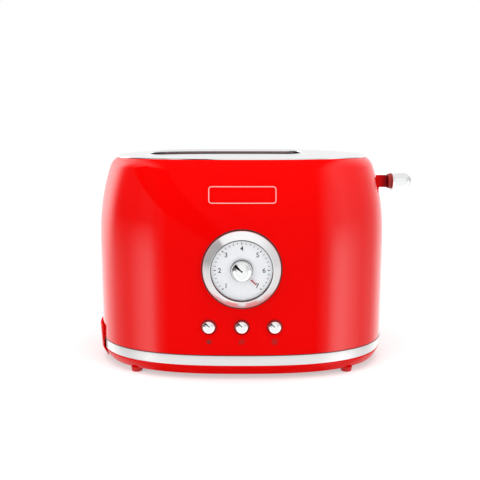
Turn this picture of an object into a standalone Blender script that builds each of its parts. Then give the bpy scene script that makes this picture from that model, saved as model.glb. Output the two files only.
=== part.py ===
"""A retro two-slice toaster with a bread carriage, browning knob, three push buttons and a crumb tray.

Metres, +Z up, standing on Z = 0. Sizes are given in the body's own frame, centred on the shell in plan,
with the controls facing -Y and the lever at +X. The empty toaster_frame moves that frame so that the
origin lies under the middle of the whole object.
"""

import math

import bmesh
import bpy
from mathutils import Vector
from mathutils.geometry import delaunay_2d_cdt

# Body: a superellipse in plan.
BODY_LENGTH = 0.2686
BODY_DEPTH = 0.182
PLAN_POWER = 2.6
PLAN_POINTS = 44

# Heights of the stack, from the ground up.
FOOT_HEIGHT = 0.0045
BASE_HEIGHT = 0.0087
BAND_HEIGHT = 0.0092
SHELL_HEIGHT = 0.1913
WAIST_DROP = 0.0813
SHOULDER_DROP = 0.0083
CROWN_RISE = 0.0044

# Sheet and fits.
FIT = 0.0003
OVERRUN = 0.004
OVERLAP = 0.0006
WELD = 0.000001
WHOLE_HULL = 0
FLAT_ANGLE = math.radians(0.1)
SHELL_WALL = 0.0018
PLATE_WALL = 0.0012

# Shell: above the waist the wall leans in, then rolls over a round shoulder.
LEAN_DEPTH = 0.0108
LEAN_POWER = 2.3
LEAN_STEPS = 3
SHOULDER_RADIUS = 0.016
SHOULDER_STEPS = 3

# Top panel.
TOP_WALL = 0.0013
TOP_LIP_DEPTH = 0.006
TOP_REVEAL = 0.0002
TOP_EDGE = 0.0009
CROWN_POWER_ALONG = 4.5
CROWN_POWER_ACROSS = 2.0
CROWN_FLARE_POWER = 2.0
TOP_RING_SHARES = (0.94, 0.80, 0.50, 0.08)
UNDER_RING_SHARES = (0.08, 0.6)

# Bread slots.
SLOT_LENGTH_SHARE = 0.5186
SLOT_WIDTH_SHARE = 0.1660
SLOT_X_SHARE = -0.0536
SLOT_CENTRE_SHARE = 0.1423
SLOT_END_POINTS = 6
SLOT_SIDE_POINTS = 2
LIP_WALL = 0.0011
LIP_DEPTH = 0.010
BEAD_WIDTH = 0.0028
BEAD_SHOULDER_SHARE = 0.4
BEAD_RISE = 0.0005

# Base moulding, trim band, feet and screws.
BASE_INSET = 0.0050
BASE_EDGE_INSET = 0.0004
BASE_FLOOR = 0.0025
BASE_WALL = 0.0022
BASE_UPSTAND = 0.008
BAND_PROUD = 0.0009
BAND_CROWN = 0.0005
FOOT_RADIUS = 0.0054
FOOT_TOE_RADIUS = 0.0049
FOOT_PEG_RADIUS = 0.0020
FOOT_PEG_HEIGHT = 0.0020
FOOT_X_SHARE = 0.3544
FOOT_Y_SHARE = 0.352
VENT_LENGTH_SHARE = 0.19318
VENT_WIDTH = 0.0035
VENT_PITCH_SHARE = 0.02888
VENT_COUNT = 5
VENT_X_SHARE = 0.35379
SCREW_HEAD_RADIUS = 0.0034
SCREW_HEAD_HEIGHT = 0.0018
SCREW_SHANK_RADIUS = 0.0016
SCREW_SHANK_LENGTH = 0.0075
SCREW_CLEARANCE = 0.0004

# Frame inside: end plates, reflectors, heaters.
END_PLATE_LEFT_SHARE = -0.34657
END_PLATE_RIGHT_SHARE = 0.23827
END_PLATE_DROP = 0.0153
END_PLATE_HALF_SHARE = 0.3319
END_PLATE_LEG_SHARE = 0.0909
END_PLATE_BRIDGE = 0.0215
END_PLATE_FOOT_SHARE = 0.05054
REFLECTOR_Y_SHARE = 0.3148
REFLECTOR_BOTTOM = 0.022
REFLECTOR_DROP = 0.0193
REFLECTOR_FLANGE = 0.004
HEATER_WALL = 0.0010
HEATER_OUTER_SHARE = 0.27557
HEATER_BOTTOM = 0.038
HEATER_DROP = 0.0273
HEATER_TAB_HEIGHT = 0.010
HEATER_TAB_OVERHANG = 0.0012
HEATER_END_MARGIN = 0.0065
HEATER_TURNS = 8
RIBBON_RADIUS = 0.00045
RIBBON_CLEARANCE = 0.002

# Bread guards: wire grids hinged along their lower edge.
GUARD_WIRE = 0.0016
GUARD_REACH_SHARE = 0.08807
GUARD_HINGE_HEIGHT = 0.036
GUARD_DROP = 0.0133
GUARD_MARGIN = 0.006
GUARD_SILL = 0.0008
GUARD_BARS = 9
PIVOT_HALF_HEIGHT = 0.0012
PIVOT_HOLE_RADIUS = 0.0022
PIVOT_OVERHANG = 0.0020

# Bread carriage.
RACK_RISE = 0.006
RACK_THICKNESS = 0.0022
RACK_WIDTH_SHARE = 0.11932
RACK_RAIL = 0.003
RACK_RUNG = 0.0025
RACK_GAPS = 9
RACK_END_MARGIN = 0.008
TONGUE_WIDTH = 0.004
TONGUE_OVERHANG = 0.003
SLIT_WIDTH = 0.0062
SLIT_MARGIN = 0.005
BRACKET_STAND = 0.010
BRACKET_WALL = 0.0016
BRACKET_HALF_SHARE = 0.18182
BRACKET_HEIGHT = 0.060
BRACKET_BAR_HEIGHT = 0.014
BRACKET_UPRIGHT_WIDTH = 0.017
BRACKET_DROP = 0.0193
ROD_RADIUS = 0.0030
ROD_Y_SHARE = 0.10227
ROD_DROP = 0.0118
ROD_CLEARANCE = 0.0003
SLEEVE_WALL = 0.0022
SLEEVE_HEIGHT = 0.026
ROD_BOSS_HEIGHT = 0.008
ROD_BOSS_WALL = 0.0025
ROD_TAB_MARGIN = 0.005
SPRING_RADIUS = 0.0049
SPRING_WIRE_RADIUS = 0.0007
SPRING_TURNS = 8
SPRING_POINTS_A_TURN = 8
MAGNET_LENGTH = 0.014
MAGNET_DEPTH = 0.020
MAGNET_HEIGHT = 0.0241
MAGNET_YOKE = 0.005
MAGNET_Y_SHARE = -0.13636
MAGNET_GAP = 0.0006
ARMATURE_LENGTH = 0.016
COIL_WALL = 0.0035
COIL_MARGIN = 0.0012
ARMATURE_HEIGHT = 0.0025

# Lever at the right end.
LEVER_DROP = 0.0241
LEVER_ARM_HEIGHT = 0.0113
LEVER_ARM_WIDTH = 0.0074
LEVER_ARM_PROUD = 0.0052
LEVER_SPIGOT_RADIUS = 0.0030
LEVER_SPIGOT_LENGTH = 0.013
LEVER_TAIL_DROP = 0.0062
LEVER_TAIL_SETBACK = 0.0025
LEVER_TAIL_THICKNESS = 0.0030
LEVER_SLOT_WIDTH = 0.0094
LEVER_SLOT_MARGIN = 0.0026
COLLAR_RADIUS = 0.0099
COLLAR_LENGTH = 0.0062
KNOB_RADIUS = 0.0083
KNOB_TIP_PROUD = 0.0296
KNOB_NECK_RADIUS = 0.0072
KNOB_BARREL = 0.0095
KNOB_NOSE_STEPS = 5
LEVER_FILLET = 0.0012

# Dial: a fixed face behind a turning ring.
DIAL_HEIGHT = 0.0996
DIAL_RADIUS = 0.0334
DIAL_EDGE = 0.0010
DIAL_PROUD = 0.0075
DIAL_BEVEL_INNER_RADIUS = 0.0270
DIAL_OPENING_RADIUS = 0.0260
DIAL_LIP_DEPTH = 0.0008
WINDOW_THICKNESS = 0.0007
WINDOW_LAP = 0.0005
FACE_PROUD = 0.0031
FACE_THICKNESS = 0.0016
FACE_CUP_WALL = 0.0015
FACE_CUP_RADIUS = 0.0245
FACE_FLANGE_RADIUS = 0.0300
FACE_FLANGE_WALL = 0.0015
FACE_FLANGE_CLEARANCE = 0.0013
CAP_RADIUS = 0.0091
CAP_EDGE = 0.0012
CAP_PROUD = 0.0126
CAP_STEPS = 5
NEEDLE_START = 0.0105
NEEDLE_END = 0.0181
NEEDLE_WIDTH = 0.0011
NEEDLE_THICKNESS = 0.0005
NEEDLE_ANGLE = math.radians(135)
SHAFT_RADIUS = 0.0030
SHAFT_HOLE_RADIUS = 0.0036
SHAFT_DEPTH = 0.0145

# Push buttons.
BUTTON_HEIGHT_SHARE = 0.5028
BUTTON_PITCH = 0.0285
BUTTON_RADIUS = 0.0056
BUTTON_PROUD = 0.0032
BUTTON_EDGE_PROUD = 0.0005
BUTTON_DOME_STEPS = 3
BUTTON_FLANGE_RADIUS = 0.0068
BUTTON_FLANGE_WALL = 0.0010
BUTTON_STEM_RADIUS = 0.0018
BUTTON_TRAVEL = 0.0015
BUTTON_RECESS_RADIUS = 0.00695
GUIDE_WALL = 0.00065
GUIDE_PLATE_CLEARANCE = 0.00034
GUIDE_RECESS = 0.0011
GUIDE_PLATE_WALL = 0.0016
GUIDE_PLATE_GAP = 0.0012
GUIDE_PLATE_MARGIN = 0.011

# Control board behind the front.
BOARD_DEPTH = 0.0180
BOARD_WALL = 0.0016
BOARD_LENGTH = 0.088
BOARD_BOTTOM = 0.032
BOARD_HEAD = 0.0171
SWITCH_SIZE = 0.0062
SWITCH_DEPTH = 0.0035
SWITCH_PLUNGER_RADIUS = 0.0017
SWITCH_PLUNGER_LENGTH = 0.0010
POT_RADIUS = 0.0085
POT_DEPTH = 0.0060
POT_NECK_RADIUS = 0.0052
POT_NECK_LENGTH = 0.0040
BRACKET_FLANGE_X = 0.040

# Crumb tray with its handle at the left end.
TRAY_END_GAP = 0.0217
TRAY_WIDTH_SHARE = 0.40341
TRAY_DEPTH = 0.0082
TRAY_WALL = 0.0012
TRAY_CLEARANCE = 0.0014
HANDLE_WIDTH_SHARE = 0.41761
HANDLE_BOTTOM = 0.0056
HANDLE_TOP = 0.0347
HANDLE_THICKNESS = 0.0022
HANDLE_FOOT_THICKNESS = 0.0012
HANDLE_ROUND = 0.0010
HANDLE_POINTS = 10

# Cord gland in the rear wall; no cord is fitted.
GLAND_X_SHARE = 0.12274
GLAND_HEIGHT = 0.042
GLAND_RADIUS = 0.0072
GLAND_NECK_RADIUS = 0.0050
GLAND_BORE_RADIUS = 0.0034
GLAND_FLANGE = 0.0018
GLAND_EDGE = 0.0006
GLAND_GRIP_CLEARANCE = 0.0004
GLAND_COLLAR_RADIUS = 0.0066
GLAND_COLLAR = 0.0015

FINE_SEGMENTS = 36
ROUND_SEGMENTS = 24
BUTTON_SEGMENTS = 16
SMALL_SEGMENTS = 12

# Heights that follow from the stack, from the ground up.
BASE_TOP = FOOT_HEIGHT + BASE_HEIGHT
FLOOR_TOP = FOOT_HEIGHT + BASE_FLOOR
BAND_LINE = BASE_TOP + FIT
BAND_TOP = BAND_LINE + BAND_HEIGHT
SHELL_BOTTOM = BAND_TOP + FIT
UPSTAND_TOP = SHELL_BOTTOM + BASE_UPSTAND
MAGNET_TOP = FLOOR_TOP + FIT + MAGNET_HEIGHT

# Heights that hang from the top of the shell.
WAIST_HEIGHT = SHELL_HEIGHT - WAIST_DROP
SHOULDER_HEIGHT = SHELL_HEIGHT - SHOULDER_DROP
END_PLATE_TOP = SHELL_HEIGHT - END_PLATE_DROP
REFLECTOR_TOP = SHELL_HEIGHT - REFLECTOR_DROP
HEATER_TOP = SHELL_HEIGHT - HEATER_DROP
GUARD_TOP = SHELL_HEIGHT - GUARD_DROP
ROD_TOP = SHELL_HEIGHT - ROD_DROP
BRACKET_TOP = SHELL_HEIGHT - BRACKET_DROP
BRACKET_BOTTOM = BRACKET_TOP - BRACKET_HEIGHT
RACK_HEIGHT = BRACKET_BOTTOM + RACK_RISE
LEVER_HEIGHT = SHELL_HEIGHT - LEVER_DROP
LEVER_FLOOR = LEVER_HEIGHT - LEVER_ARM_HEIGHT / 2
CARRIAGE_TRAVEL = BRACKET_BOTTOM - MAGNET_TOP - MAGNET_GAP

# The buttons stand between the base's upstand and the dial.
BUTTON_HEIGHT = UPSTAND_TOP + BUTTON_HEIGHT_SHARE * (DIAL_HEIGHT - DIAL_RADIUS - UPSTAND_TOP)
BOARD_TOP = DIAL_HEIGHT + BOARD_HEAD

# What lies along the body takes its place and length from the body's length.
SLOT_LENGTH = SLOT_LENGTH_SHARE * BODY_LENGTH
SLOT_CENTRE_X = SLOT_X_SHARE * BODY_LENGTH
FOOT_X = FOOT_X_SHARE * BODY_LENGTH
VENT_PITCH = VENT_PITCH_SHARE * BODY_LENGTH
VENT_CENTRE_X = VENT_X_SHARE * BODY_LENGTH
END_PLATE_LEFT_X = END_PLATE_LEFT_SHARE * BODY_LENGTH
END_PLATE_RIGHT_X = END_PLATE_RIGHT_SHARE * BODY_LENGTH
END_PLATE_FOOT_LENGTH = END_PLATE_FOOT_SHARE * BODY_LENGTH
BRACKET_X = END_PLATE_RIGHT_X + BRACKET_STAND
LEVER_ARM_REACH = BODY_LENGTH / 2 + LEVER_ARM_PROUD
LEVER_TAIL_REACH = BODY_LENGTH / 2 - LEVER_TAIL_SETBACK
KNOB_TIP_REACH = BODY_LENGTH / 2 + KNOB_TIP_PROUD
GLAND_X = GLAND_X_SHARE * BODY_LENGTH

# What lies across the body takes its place and width from the body's depth.
SLOT_WIDTH = SLOT_WIDTH_SHARE * BODY_DEPTH
SLOT_CENTRE_Y = SLOT_CENTRE_SHARE * BODY_DEPTH
FOOT_Y = FOOT_Y_SHARE * BODY_DEPTH
VENT_LENGTH = VENT_LENGTH_SHARE * BODY_DEPTH
END_PLATE_HALF_WIDTH = END_PLATE_HALF_SHARE * BODY_DEPTH
END_PLATE_LEG_WIDTH = END_PLATE_LEG_SHARE * BODY_DEPTH
REFLECTOR_Y = REFLECTOR_Y_SHARE * BODY_DEPTH
HEATER_OUTER_Y = HEATER_OUTER_SHARE * BODY_DEPTH
GUARD_REACH = GUARD_REACH_SHARE * BODY_DEPTH
RACK_WIDTH = RACK_WIDTH_SHARE * BODY_DEPTH
BRACKET_HALF_WIDTH = BRACKET_HALF_SHARE * BODY_DEPTH
ROD_Y = ROD_Y_SHARE * BODY_DEPTH
MAGNET_Y = MAGNET_Y_SHARE * BODY_DEPTH
TRAY_WIDTH = TRAY_WIDTH_SHARE * BODY_DEPTH
HANDLE_WIDTH = HANDLE_WIDTH_SHARE * BODY_DEPTH

# Depths of the controls, from the body's centre. Forward is -Y.
FRONT_Y = -BODY_DEPTH / 2
BOARD_Y = FRONT_Y + BOARD_DEPTH
BRACKET_WEB_Y = -REFLECTOR_Y - PLATE_WALL - FIT

# Places of what repeats, and of the rod that the carriage slides on.
BUTTONS = (("defrost_button", -BUTTON_PITCH), ("reheat_button", 0.0), ("cancel_button", BUTTON_PITCH))
FEET = ((-FOOT_X, -FOOT_Y), (FOOT_X, -FOOT_Y), (-FOOT_X, FOOT_Y), (FOOT_X, FOOT_Y))
SCREW_Y = END_PLATE_HALF_WIDTH - END_PLATE_LEG_WIDTH / 2
SCREW_LEFT_X = END_PLATE_LEFT_X - END_PLATE_FOOT_LENGTH / 2
SCREW_RIGHT_X = END_PLATE_RIGHT_X + END_PLATE_FOOT_LENGTH / 2
SCREWS = tuple((x, y) for x in (SCREW_LEFT_X, SCREW_RIGHT_X) for y in (-SCREW_Y, SCREW_Y))
SLEEVE_RADIUS = ROD_RADIUS + ROD_CLEARANCE + SLEEVE_WALL
ROD_X = BRACKET_X + SLEEVE_RADIUS
SPRING_SEAT = FLOOR_TOP + ROD_BOSS_HEIGHT

# The whole object's reach sets where the body stands in the world.
FRONT_REACH = BODY_DEPTH / 2 + CAP_PROUD
REAR_REACH = BODY_DEPTH / 2 + FIT + GLAND_FLANGE
LEFT_REACH = BODY_LENGTH / 2 + FIT + HANDLE_THICKNESS
BODY_X = (LEFT_REACH - KNOB_TIP_REACH) / 2
BODY_Y = (FRONT_REACH - REAR_REACH) / 2

RED = (0.80, 0.008, 0.010, 1.0)
DARK_RED = (0.25, 0.004, 0.006, 1.0)
CHROME = (0.88, 0.89, 0.90, 1.0)
STEEL = (0.62, 0.62, 0.62, 1.0)
DARK_STEEL = (0.20, 0.20, 0.21, 1.0)
WHITE = (0.86, 0.87, 0.89, 1.0)
MICA = (0.55, 0.50, 0.42, 1.0)
COPPER = (0.60, 0.25, 0.10, 1.0)
BLACK = (0.02, 0.02, 0.02, 1.0)
GREEN = (0.03, 0.16, 0.07, 1.0)
CLEAR = (0.95, 0.97, 1.0, 0.25)
GLOSS = 0.12
POLISHED = 0.08
SATIN = 0.35
DULL = 0.6


def clear_scene():
    for old in list(bpy.data.objects):
        bpy.data.objects.remove(old, do_unlink=True)


def new_collection(name):
    made = bpy.data.collections.new(name)
    bpy.context.scene.collection.children.link(made)
    return made


clear_scene()
TOASTER = new_collection("toaster")
CUTTERS = new_collection("cutters")
CUTTERS.hide_render = True

FRAME = bpy.data.objects.new("toaster_frame", None)
FRAME.location = (BODY_X, BODY_Y, 0)
TOASTER.objects.link(FRAME)


def material(name, colour, roughness, metallic=0.0):
    """A Principled material, made once for each name."""
    found = bpy.data.materials.get(name)
    if found:
        return found
    made = bpy.data.materials.new(name)
    made.use_nodes = True
    shader = made.node_tree.nodes["Principled BSDF"]
    shader.inputs["Base Color"].default_value = colour
    shader.inputs["Roughness"].default_value = roughness
    shader.inputs["Metallic"].default_value = metallic
    shader.inputs["Alpha"].default_value = colour[3]
    return made


def joint_empty(name, place):
    """An empty on a joint's axis, in the body's frame."""
    made = bpy.data.objects.new(name, None)
    made.location = place
    made.parent = FRAME
    TOASTER.objects.link(made)
    return made


def place_object(name, data, place=(0, 0, 0), turn=(0, 0, 0), parent=None, helper=False):
    """Links an object at a place in the body's frame, as a piece or as a cutter."""
    made = bpy.data.objects.new(name, data)
    made.location = place
    made.rotation_euler = turn
    made.parent = FRAME
    if parent:
        made.parent = parent
        made.location = Vector(place) - parent.location
    (CUTTERS if helper else TOASTER).objects.link(made)
    if helper:
        made.hide_render = True
        made.display_type = "WIRE"
    return made


def finish(piece, look):
    """Gives a piece its material, merges the facets that lie flat, and shades its round sides smooth."""
    piece.data.materials.clear()
    piece.data.materials.append(look)
    if any(step.type == "BOOLEAN" for step in piece.modifiers):
        flat = piece.modifiers.new("flat_faces", "DECIMATE")
        flat.decimate_type = "DISSOLVE"
        flat.angle_limit = FLAT_ANGLE
    if piece.type == "MESH":
        piece.data.shade_smooth()
        piece.data.set_sharp_from_angle(angle=math.radians(35))
    return piece


def mesh_from(name, bm):
    """A mesh from finished faces, in triangles so that a Boolean meets no bent face."""
    bmesh.ops.triangulate(bm, faces=bm.faces)
    bmesh.ops.recalc_face_normals(bm, faces=bm.faces)
    mesh = bpy.data.meshes.new(name)
    bm.to_mesh(mesh)
    bm.free()
    return mesh


def box(name, low, high, **options):
    """A box between two corners, with its origin at its centre."""
    size = Vector(high) - Vector(low)
    centre = (Vector(high) + Vector(low)) / 2
    bm = bmesh.new()
    bmesh.ops.create_cube(bm, size=1)
    bmesh.ops.scale(bm, vec=size, verts=bm.verts)
    return place_object(name, mesh_from(name, bm), centre, **options)


TOWARDS = {"+z": (0, 0, 0), "-y": (math.pi / 2, 0, 0), "+y": (-math.pi / 2, 0, 0), "+x": (0, math.pi / 2, 0)}


def cylinder(name, radius, start, length, axis="+z", segments=ROUND_SEGMENTS, **options):
    """A cylinder that starts at a point and runs along an axis."""
    bm = bmesh.new()
    bmesh.ops.create_cone(
        bm, cap_ends=True, segments=segments, radius1=radius, radius2=radius, depth=length
    )
    bmesh.ops.translate(bm, vec=(0, 0, length / 2), verts=bm.verts)
    return place_object(name, mesh_from(name, bm), start, TOWARDS[axis], **options)


def turned(name, profile, place, axis="+z", segments=ROUND_SEGMENTS, **options):
    """A turned piece: (radius, height) points down its outer side, carried round by a Screw modifier."""
    mesh = bpy.data.meshes.new(name)
    points = [(radius, 0, height) for radius, height in profile]
    edges = [(i, i + 1) for i in range(len(points) - 1)]
    if profile[0][0] > 0:
        edges.append((len(points) - 1, 0))
    mesh.from_pydata(points, edges, [])
    piece = place_object(name, mesh, place, TOWARDS[axis], **options)
    screw = piece.modifiers.new("turn", "SCREW")
    screw.steps = segments
    screw.render_steps = segments
    screw.use_merge_vertices = True
    screw.merge_threshold = WELD
    return piece


def flat_plate(name, outlines, thickness, place, turn=(0, 0, 0), **options):
    """A flat plate as a 2D curve: its outline first, then its holes."""
    curve = bpy.data.curves.new(name, "CURVE")
    curve.dimensions = "2D"
    curve.fill_mode = "BOTH"
    curve.extrude = thickness / 2
    for outline in outlines:
        spline = curve.splines.new("POLY")
        spline.points.add(len(outline) - 1)
        for point, (x, y) in zip(spline.points, outline):
            point.co = (x, y, 0, 1)
        spline.use_cyclic_u = True
    return place_object(name, curve, place, turn, **options)


def inside(place, points, edges):
    """Whether a place lies in the filled part: a line from it to the right crosses an odd number of edges."""
    crossed = 0
    for start, end in edges:
        a, b = points[start], points[end]
        if (a.y > place.y) != (b.y > place.y):
            crossed += place.x < a.x + (b.x - a.x) * (place.y - a.y) / (b.y - a.y)
    return crossed % 2 == 1


def punched_plate(name, outline, holes, thickness, place, turn=(0, 0, 0)):
    """A flat plate as a mesh: triangles between its outline and its holes on both sides, and walls round each."""
    points = []
    edges = []
    for loop in (outline, *holes):
        first = len(points)
        edges += [(first + i, first + (i + 1) % len(loop)) for i in range(len(loop))]
        points += [Vector(point) for point in loop]
    flat, _, triangles = delaunay_2d_cdt(points, edges, [], WHOLE_HULL, WELD)[:3]
    count = len(flat)
    fills = [face for face in triangles if inside(sum((flat[i] for i in face), Vector((0, 0))) / 3, points, edges)]
    sides = [(face[i], face[i - 2]) for face in fills for i in range(3)]
    rims = [side for side in sides if side[::-1] not in sides]
    corners = [(x, y, side * thickness / 2) for side in (-1, 1) for x, y in flat]
    faces = [tuple(face) for face in fills] + [tuple(count + i for i in reversed(face)) for face in fills]
    faces += [(a, b, count + b, count + a) for a, b in rims]
    mesh = bpy.data.meshes.new(name)
    mesh.from_pydata(corners, [], faces)
    return place_object(name, mesh, place, turn)


def as_mesh(piece):
    """The same piece with its curve made a closed mesh, ready for a Boolean."""
    bpy.context.view_layer.update()
    graph = bpy.context.evaluated_depsgraph_get()
    mesh = bpy.data.meshes.new_from_object(piece.evaluated_get(graph))
    bm = bmesh.new()
    bm.from_mesh(mesh)
    bmesh.ops.remove_doubles(bm, verts=bm.verts, dist=WELD)
    bmesh.ops.dissolve_degenerate(bm, edges=bm.edges, dist=WELD)
    bmesh.ops.dissolve_limit(bm, angle_limit=FLAT_ANGLE, verts=bm.verts, edges=bm.edges)
    bmesh.ops.recalc_face_normals(bm, faces=bm.faces)
    bm.to_mesh(mesh)
    bm.free()
    name = piece.name
    made = bpy.data.objects.new(name + "_mesh", mesh)
    made.parent = piece.parent
    made.location = piece.location
    made.rotation_euler = piece.rotation_euler
    made.hide_render = piece.hide_render
    made.display_type = piece.display_type
    for group in piece.users_collection:
        group.objects.link(made)
    bpy.data.objects.remove(piece, do_unlink=True)
    made.name = name
    return made


def boolean(piece, other, operation):
    step = piece.modifiers.new(other.name, "BOOLEAN")
    step.operation = operation
    step.solver = "EXACT"
    step.object = other
    return piece


def cut(piece, *cutters):
    for cutter in cutters:
        boolean(piece, cutter, "DIFFERENCE")
    return piece


def join(piece, *others):
    for other in others:
        boolean(piece, other, "UNION")
    return piece


def rectangle(low_x, low_y, high_x, high_y):
    return [(low_x, low_y), (high_x, low_y), (high_x, high_y), (low_x, high_y)]


def circle(centre_x, centre_y, radius, segments=SMALL_SEGMENTS):
    turns = [math.tau * i / segments for i in range(segments)]
    return [(centre_x + radius * math.cos(a), centre_y + radius * math.sin(a)) for a in turns]


def plan_point(angle, inset):
    """The point of the body's superellipse plan at an angle, drawn in by an inset."""
    along = math.copysign(abs(math.cos(angle)) ** (2 / PLAN_POWER), math.cos(angle))
    across = math.copysign(abs(math.sin(angle)) ** (2 / PLAN_POWER), math.sin(angle))
    return (BODY_LENGTH / 2 - inset) * along, (BODY_DEPTH / 2 - inset) * across


def plan_loft(name, profile, start=0.0, end=math.tau, steps=PLAN_POINTS, **options):
    """A closed (inset, height) profile carried round the plan: a hoop, or a length of one with flat ends."""
    whole = math.isclose(end - start, math.tau)
    bm = bmesh.new()
    sections = []
    for step in range(steps if whole else steps + 1):
        angle = start + (end - start) * step / steps
        ring = [bm.verts.new((*plan_point(angle, inset), height)) for inset, height in profile]
        sections.append(ring)
    pairs = list(zip(sections, sections[1:]))
    if whole:
        pairs.append((sections[-1], sections[0]))
    else:
        bm.faces.new(sections[0])
        bm.faces.new(sections[-1])
    for one, two in pairs:
        for i in range(len(profile)):
            j = (i + 1) % len(profile)
            bm.faces.new((one[i], one[j], two[j], two[i]))
    return place_object(name, mesh_from(name, bm), **options)


def lean_inset(height):
    """How far the shell has leaned in at a height, up to the shoulder."""
    share = max(0.0, (height - WAIST_HEIGHT) / (SHOULDER_HEIGHT - WAIST_HEIGHT))
    return LEAN_DEPTH * share**LEAN_POWER


def front_sag(x):
    """How far the straight part of the front or rear has curved in at a distance from the middle."""
    share = x / (BODY_LENGTH / 2)
    return BODY_DEPTH / 2 * (1 - (1 - share**PLAN_POWER) ** (1 / PLAN_POWER))


def shell_outline():
    """The shell's outer profile: a straight side, the lean, then the arc of the shoulder up to the seam."""
    outline = [(0.0, SHELL_BOTTOM), (0.0, WAIST_HEIGHT)]
    rise = SHOULDER_HEIGHT - WAIST_HEIGHT
    for step in range(1, LEAN_STEPS + 1):
        height = WAIST_HEIGHT + rise * step / LEAN_STEPS
        outline.append((lean_inset(height), height))
    start = math.atan(LEAN_DEPTH * LEAN_POWER / rise)
    end = math.asin(math.sin(start) + (SHELL_HEIGHT - SHOULDER_HEIGHT) / SHOULDER_RADIUS)
    for step in range(1, SHOULDER_STEPS + 1):
        angle = start + (end - start) * step / SHOULDER_STEPS
        outline.append(
            (
                LEAN_DEPTH + SHOULDER_RADIUS * (math.cos(start) - math.cos(angle)),
                SHOULDER_HEIGHT + SHOULDER_RADIUS * (math.sin(angle) - math.sin(start)),
            )
        )
    return outline


def offset_inward(outline, wall):
    """The same profile moved in square to itself by a wall, level at its two ends."""
    moved = []
    for i, (inset, height) in enumerate(outline):
        before = Vector(outline[max(i - 1, 0)])
        after = Vector(outline[min(i + 1, len(outline) - 1)])
        along = (after - before).normalized()
        moved.append((inset + wall * along.y, height - wall * along.x))
    moved[0] = (moved[0][0], outline[0][1])
    return moved


SHELL_OUTLINE = shell_outline()
SHELL_INSIDE = offset_inward(SHELL_OUTLINE, SHELL_WALL)
SEAM_INSET = SHELL_OUTLINE[-1][0]
FACE_FLANGE_DEPTH = SHELL_WALL + lean_inset(DIAL_HEIGHT + FACE_FLANGE_RADIUS) + FACE_FLANGE_CLEARANCE
UPSTAND_INSET = SHELL_WALL + FIT
TOP_LIP_INSET = SHELL_INSIDE[-1][0] + FIT
PANEL_SEAT = SHELL_HEIGHT + FIT
DECK_HEIGHT = PANEL_SEAT + TOP_EDGE

BETWEEN_LEFT = END_PLATE_LEFT_X + PLATE_WALL / 2 + FIT
BETWEEN_RIGHT = END_PLATE_RIGHT_X - PLATE_WALL / 2 - FIT
OUTSIDE_LEFT = END_PLATE_LEFT_X - PLATE_WALL / 2
OUTSIDE_RIGHT = END_PLATE_RIGHT_X + PLATE_WALL / 2
HEATER_LEFT = BETWEEN_LEFT + HEATER_END_MARGIN
HEATER_RIGHT = BETWEEN_RIGHT - HEATER_END_MARGIN
SLOT_SIDES = (-1, 1)
PLATE_TURN = (math.pi / 2, 0, math.pi / 2)
UPRIGHT_TURN = (math.pi / 2, 0, 0)


def base_inset(height):
    """The base moulding's outer taper below the trim band."""
    share = (height - FOOT_HEIGHT) / BASE_HEIGHT
    return BASE_INSET + (BASE_EDGE_INSET - BASE_INSET) * share


def handle_inside(height):
    """The inset of the tray handle's inner face, which follows the base's taper below the band."""
    foot = base_inset(HANDLE_BOTTOM) - 2 * FIT
    share = min(1.0, (height - HANDLE_BOTTOM) / (BAND_LINE - HANDLE_BOTTOM))
    return foot + (-FIT - foot) * share


def crown_height(x, y):
    """The dome over the deck: it falls off along the body, and across it runs out flat into the deck."""
    length_share = min(1.0, abs(x) / (BODY_LENGTH / 2 - SEAM_INSET))
    half_width = (BODY_DEPTH / 2 - SEAM_INSET) * (1 - length_share**PLAN_POWER) ** (1 / PLAN_POWER)
    width_share = min(1.0, abs(y) / half_width) if half_width > 0 else 0.0
    along = 1 - length_share**CROWN_POWER_ALONG
    across = (1 - width_share**CROWN_POWER_ACROSS) ** CROWN_FLARE_POWER
    return DECK_HEIGHT + CROWN_RISE * along * across


CARRIAGE_AXIS = joint_empty("carriage_axis", (ROD_X, ROD_Y, BRACKET_BOTTOM))
KNOB_AXIS = joint_empty("browning_knob_axis", (0, FRONT_Y, DIAL_HEIGHT))
TRAY_AXIS = joint_empty("crumb_tray_axis", (-BODY_LENGTH / 2, 0, FLOOR_TOP))


def ring_stack(name, rings, **options):
    """Rings of points joined in order, with the first and the last closed by a face."""
    bm = bmesh.new()
    loops = [[bm.verts.new(point) for point in ring] for ring in rings]
    for one, two in zip(loops, loops[1:]):
        count = len(one)
        for i in range(count):
            j = (i + 1) % count
            bm.faces.new((one[i], one[j], two[j], two[i]))
    bm.faces.new(loops[0])
    bm.faces.new(loops[-1])
    return place_object(name, mesh_from(name, bm), **options)


def plan_ring(inset, height):
    """A ring of the plan at an inset; the height is a number, or a function of x and y."""
    ring = []
    for step in range(PLAN_POINTS):
        x, y = plan_point(math.tau * step / PLAN_POINTS, inset)
        ring.append((x, y, height(x, y) if callable(height) else height))
    return ring


def share_ring(share, height):
    """A ring of the plan at a share of the seam's size."""
    ring = []
    for step in range(PLAN_POINTS):
        x, y = plan_point(math.tau * step / PLAN_POINTS, SEAM_INSET)
        ring.append((x * share, y * share, height(x * share, y * share)))
    return ring


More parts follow.
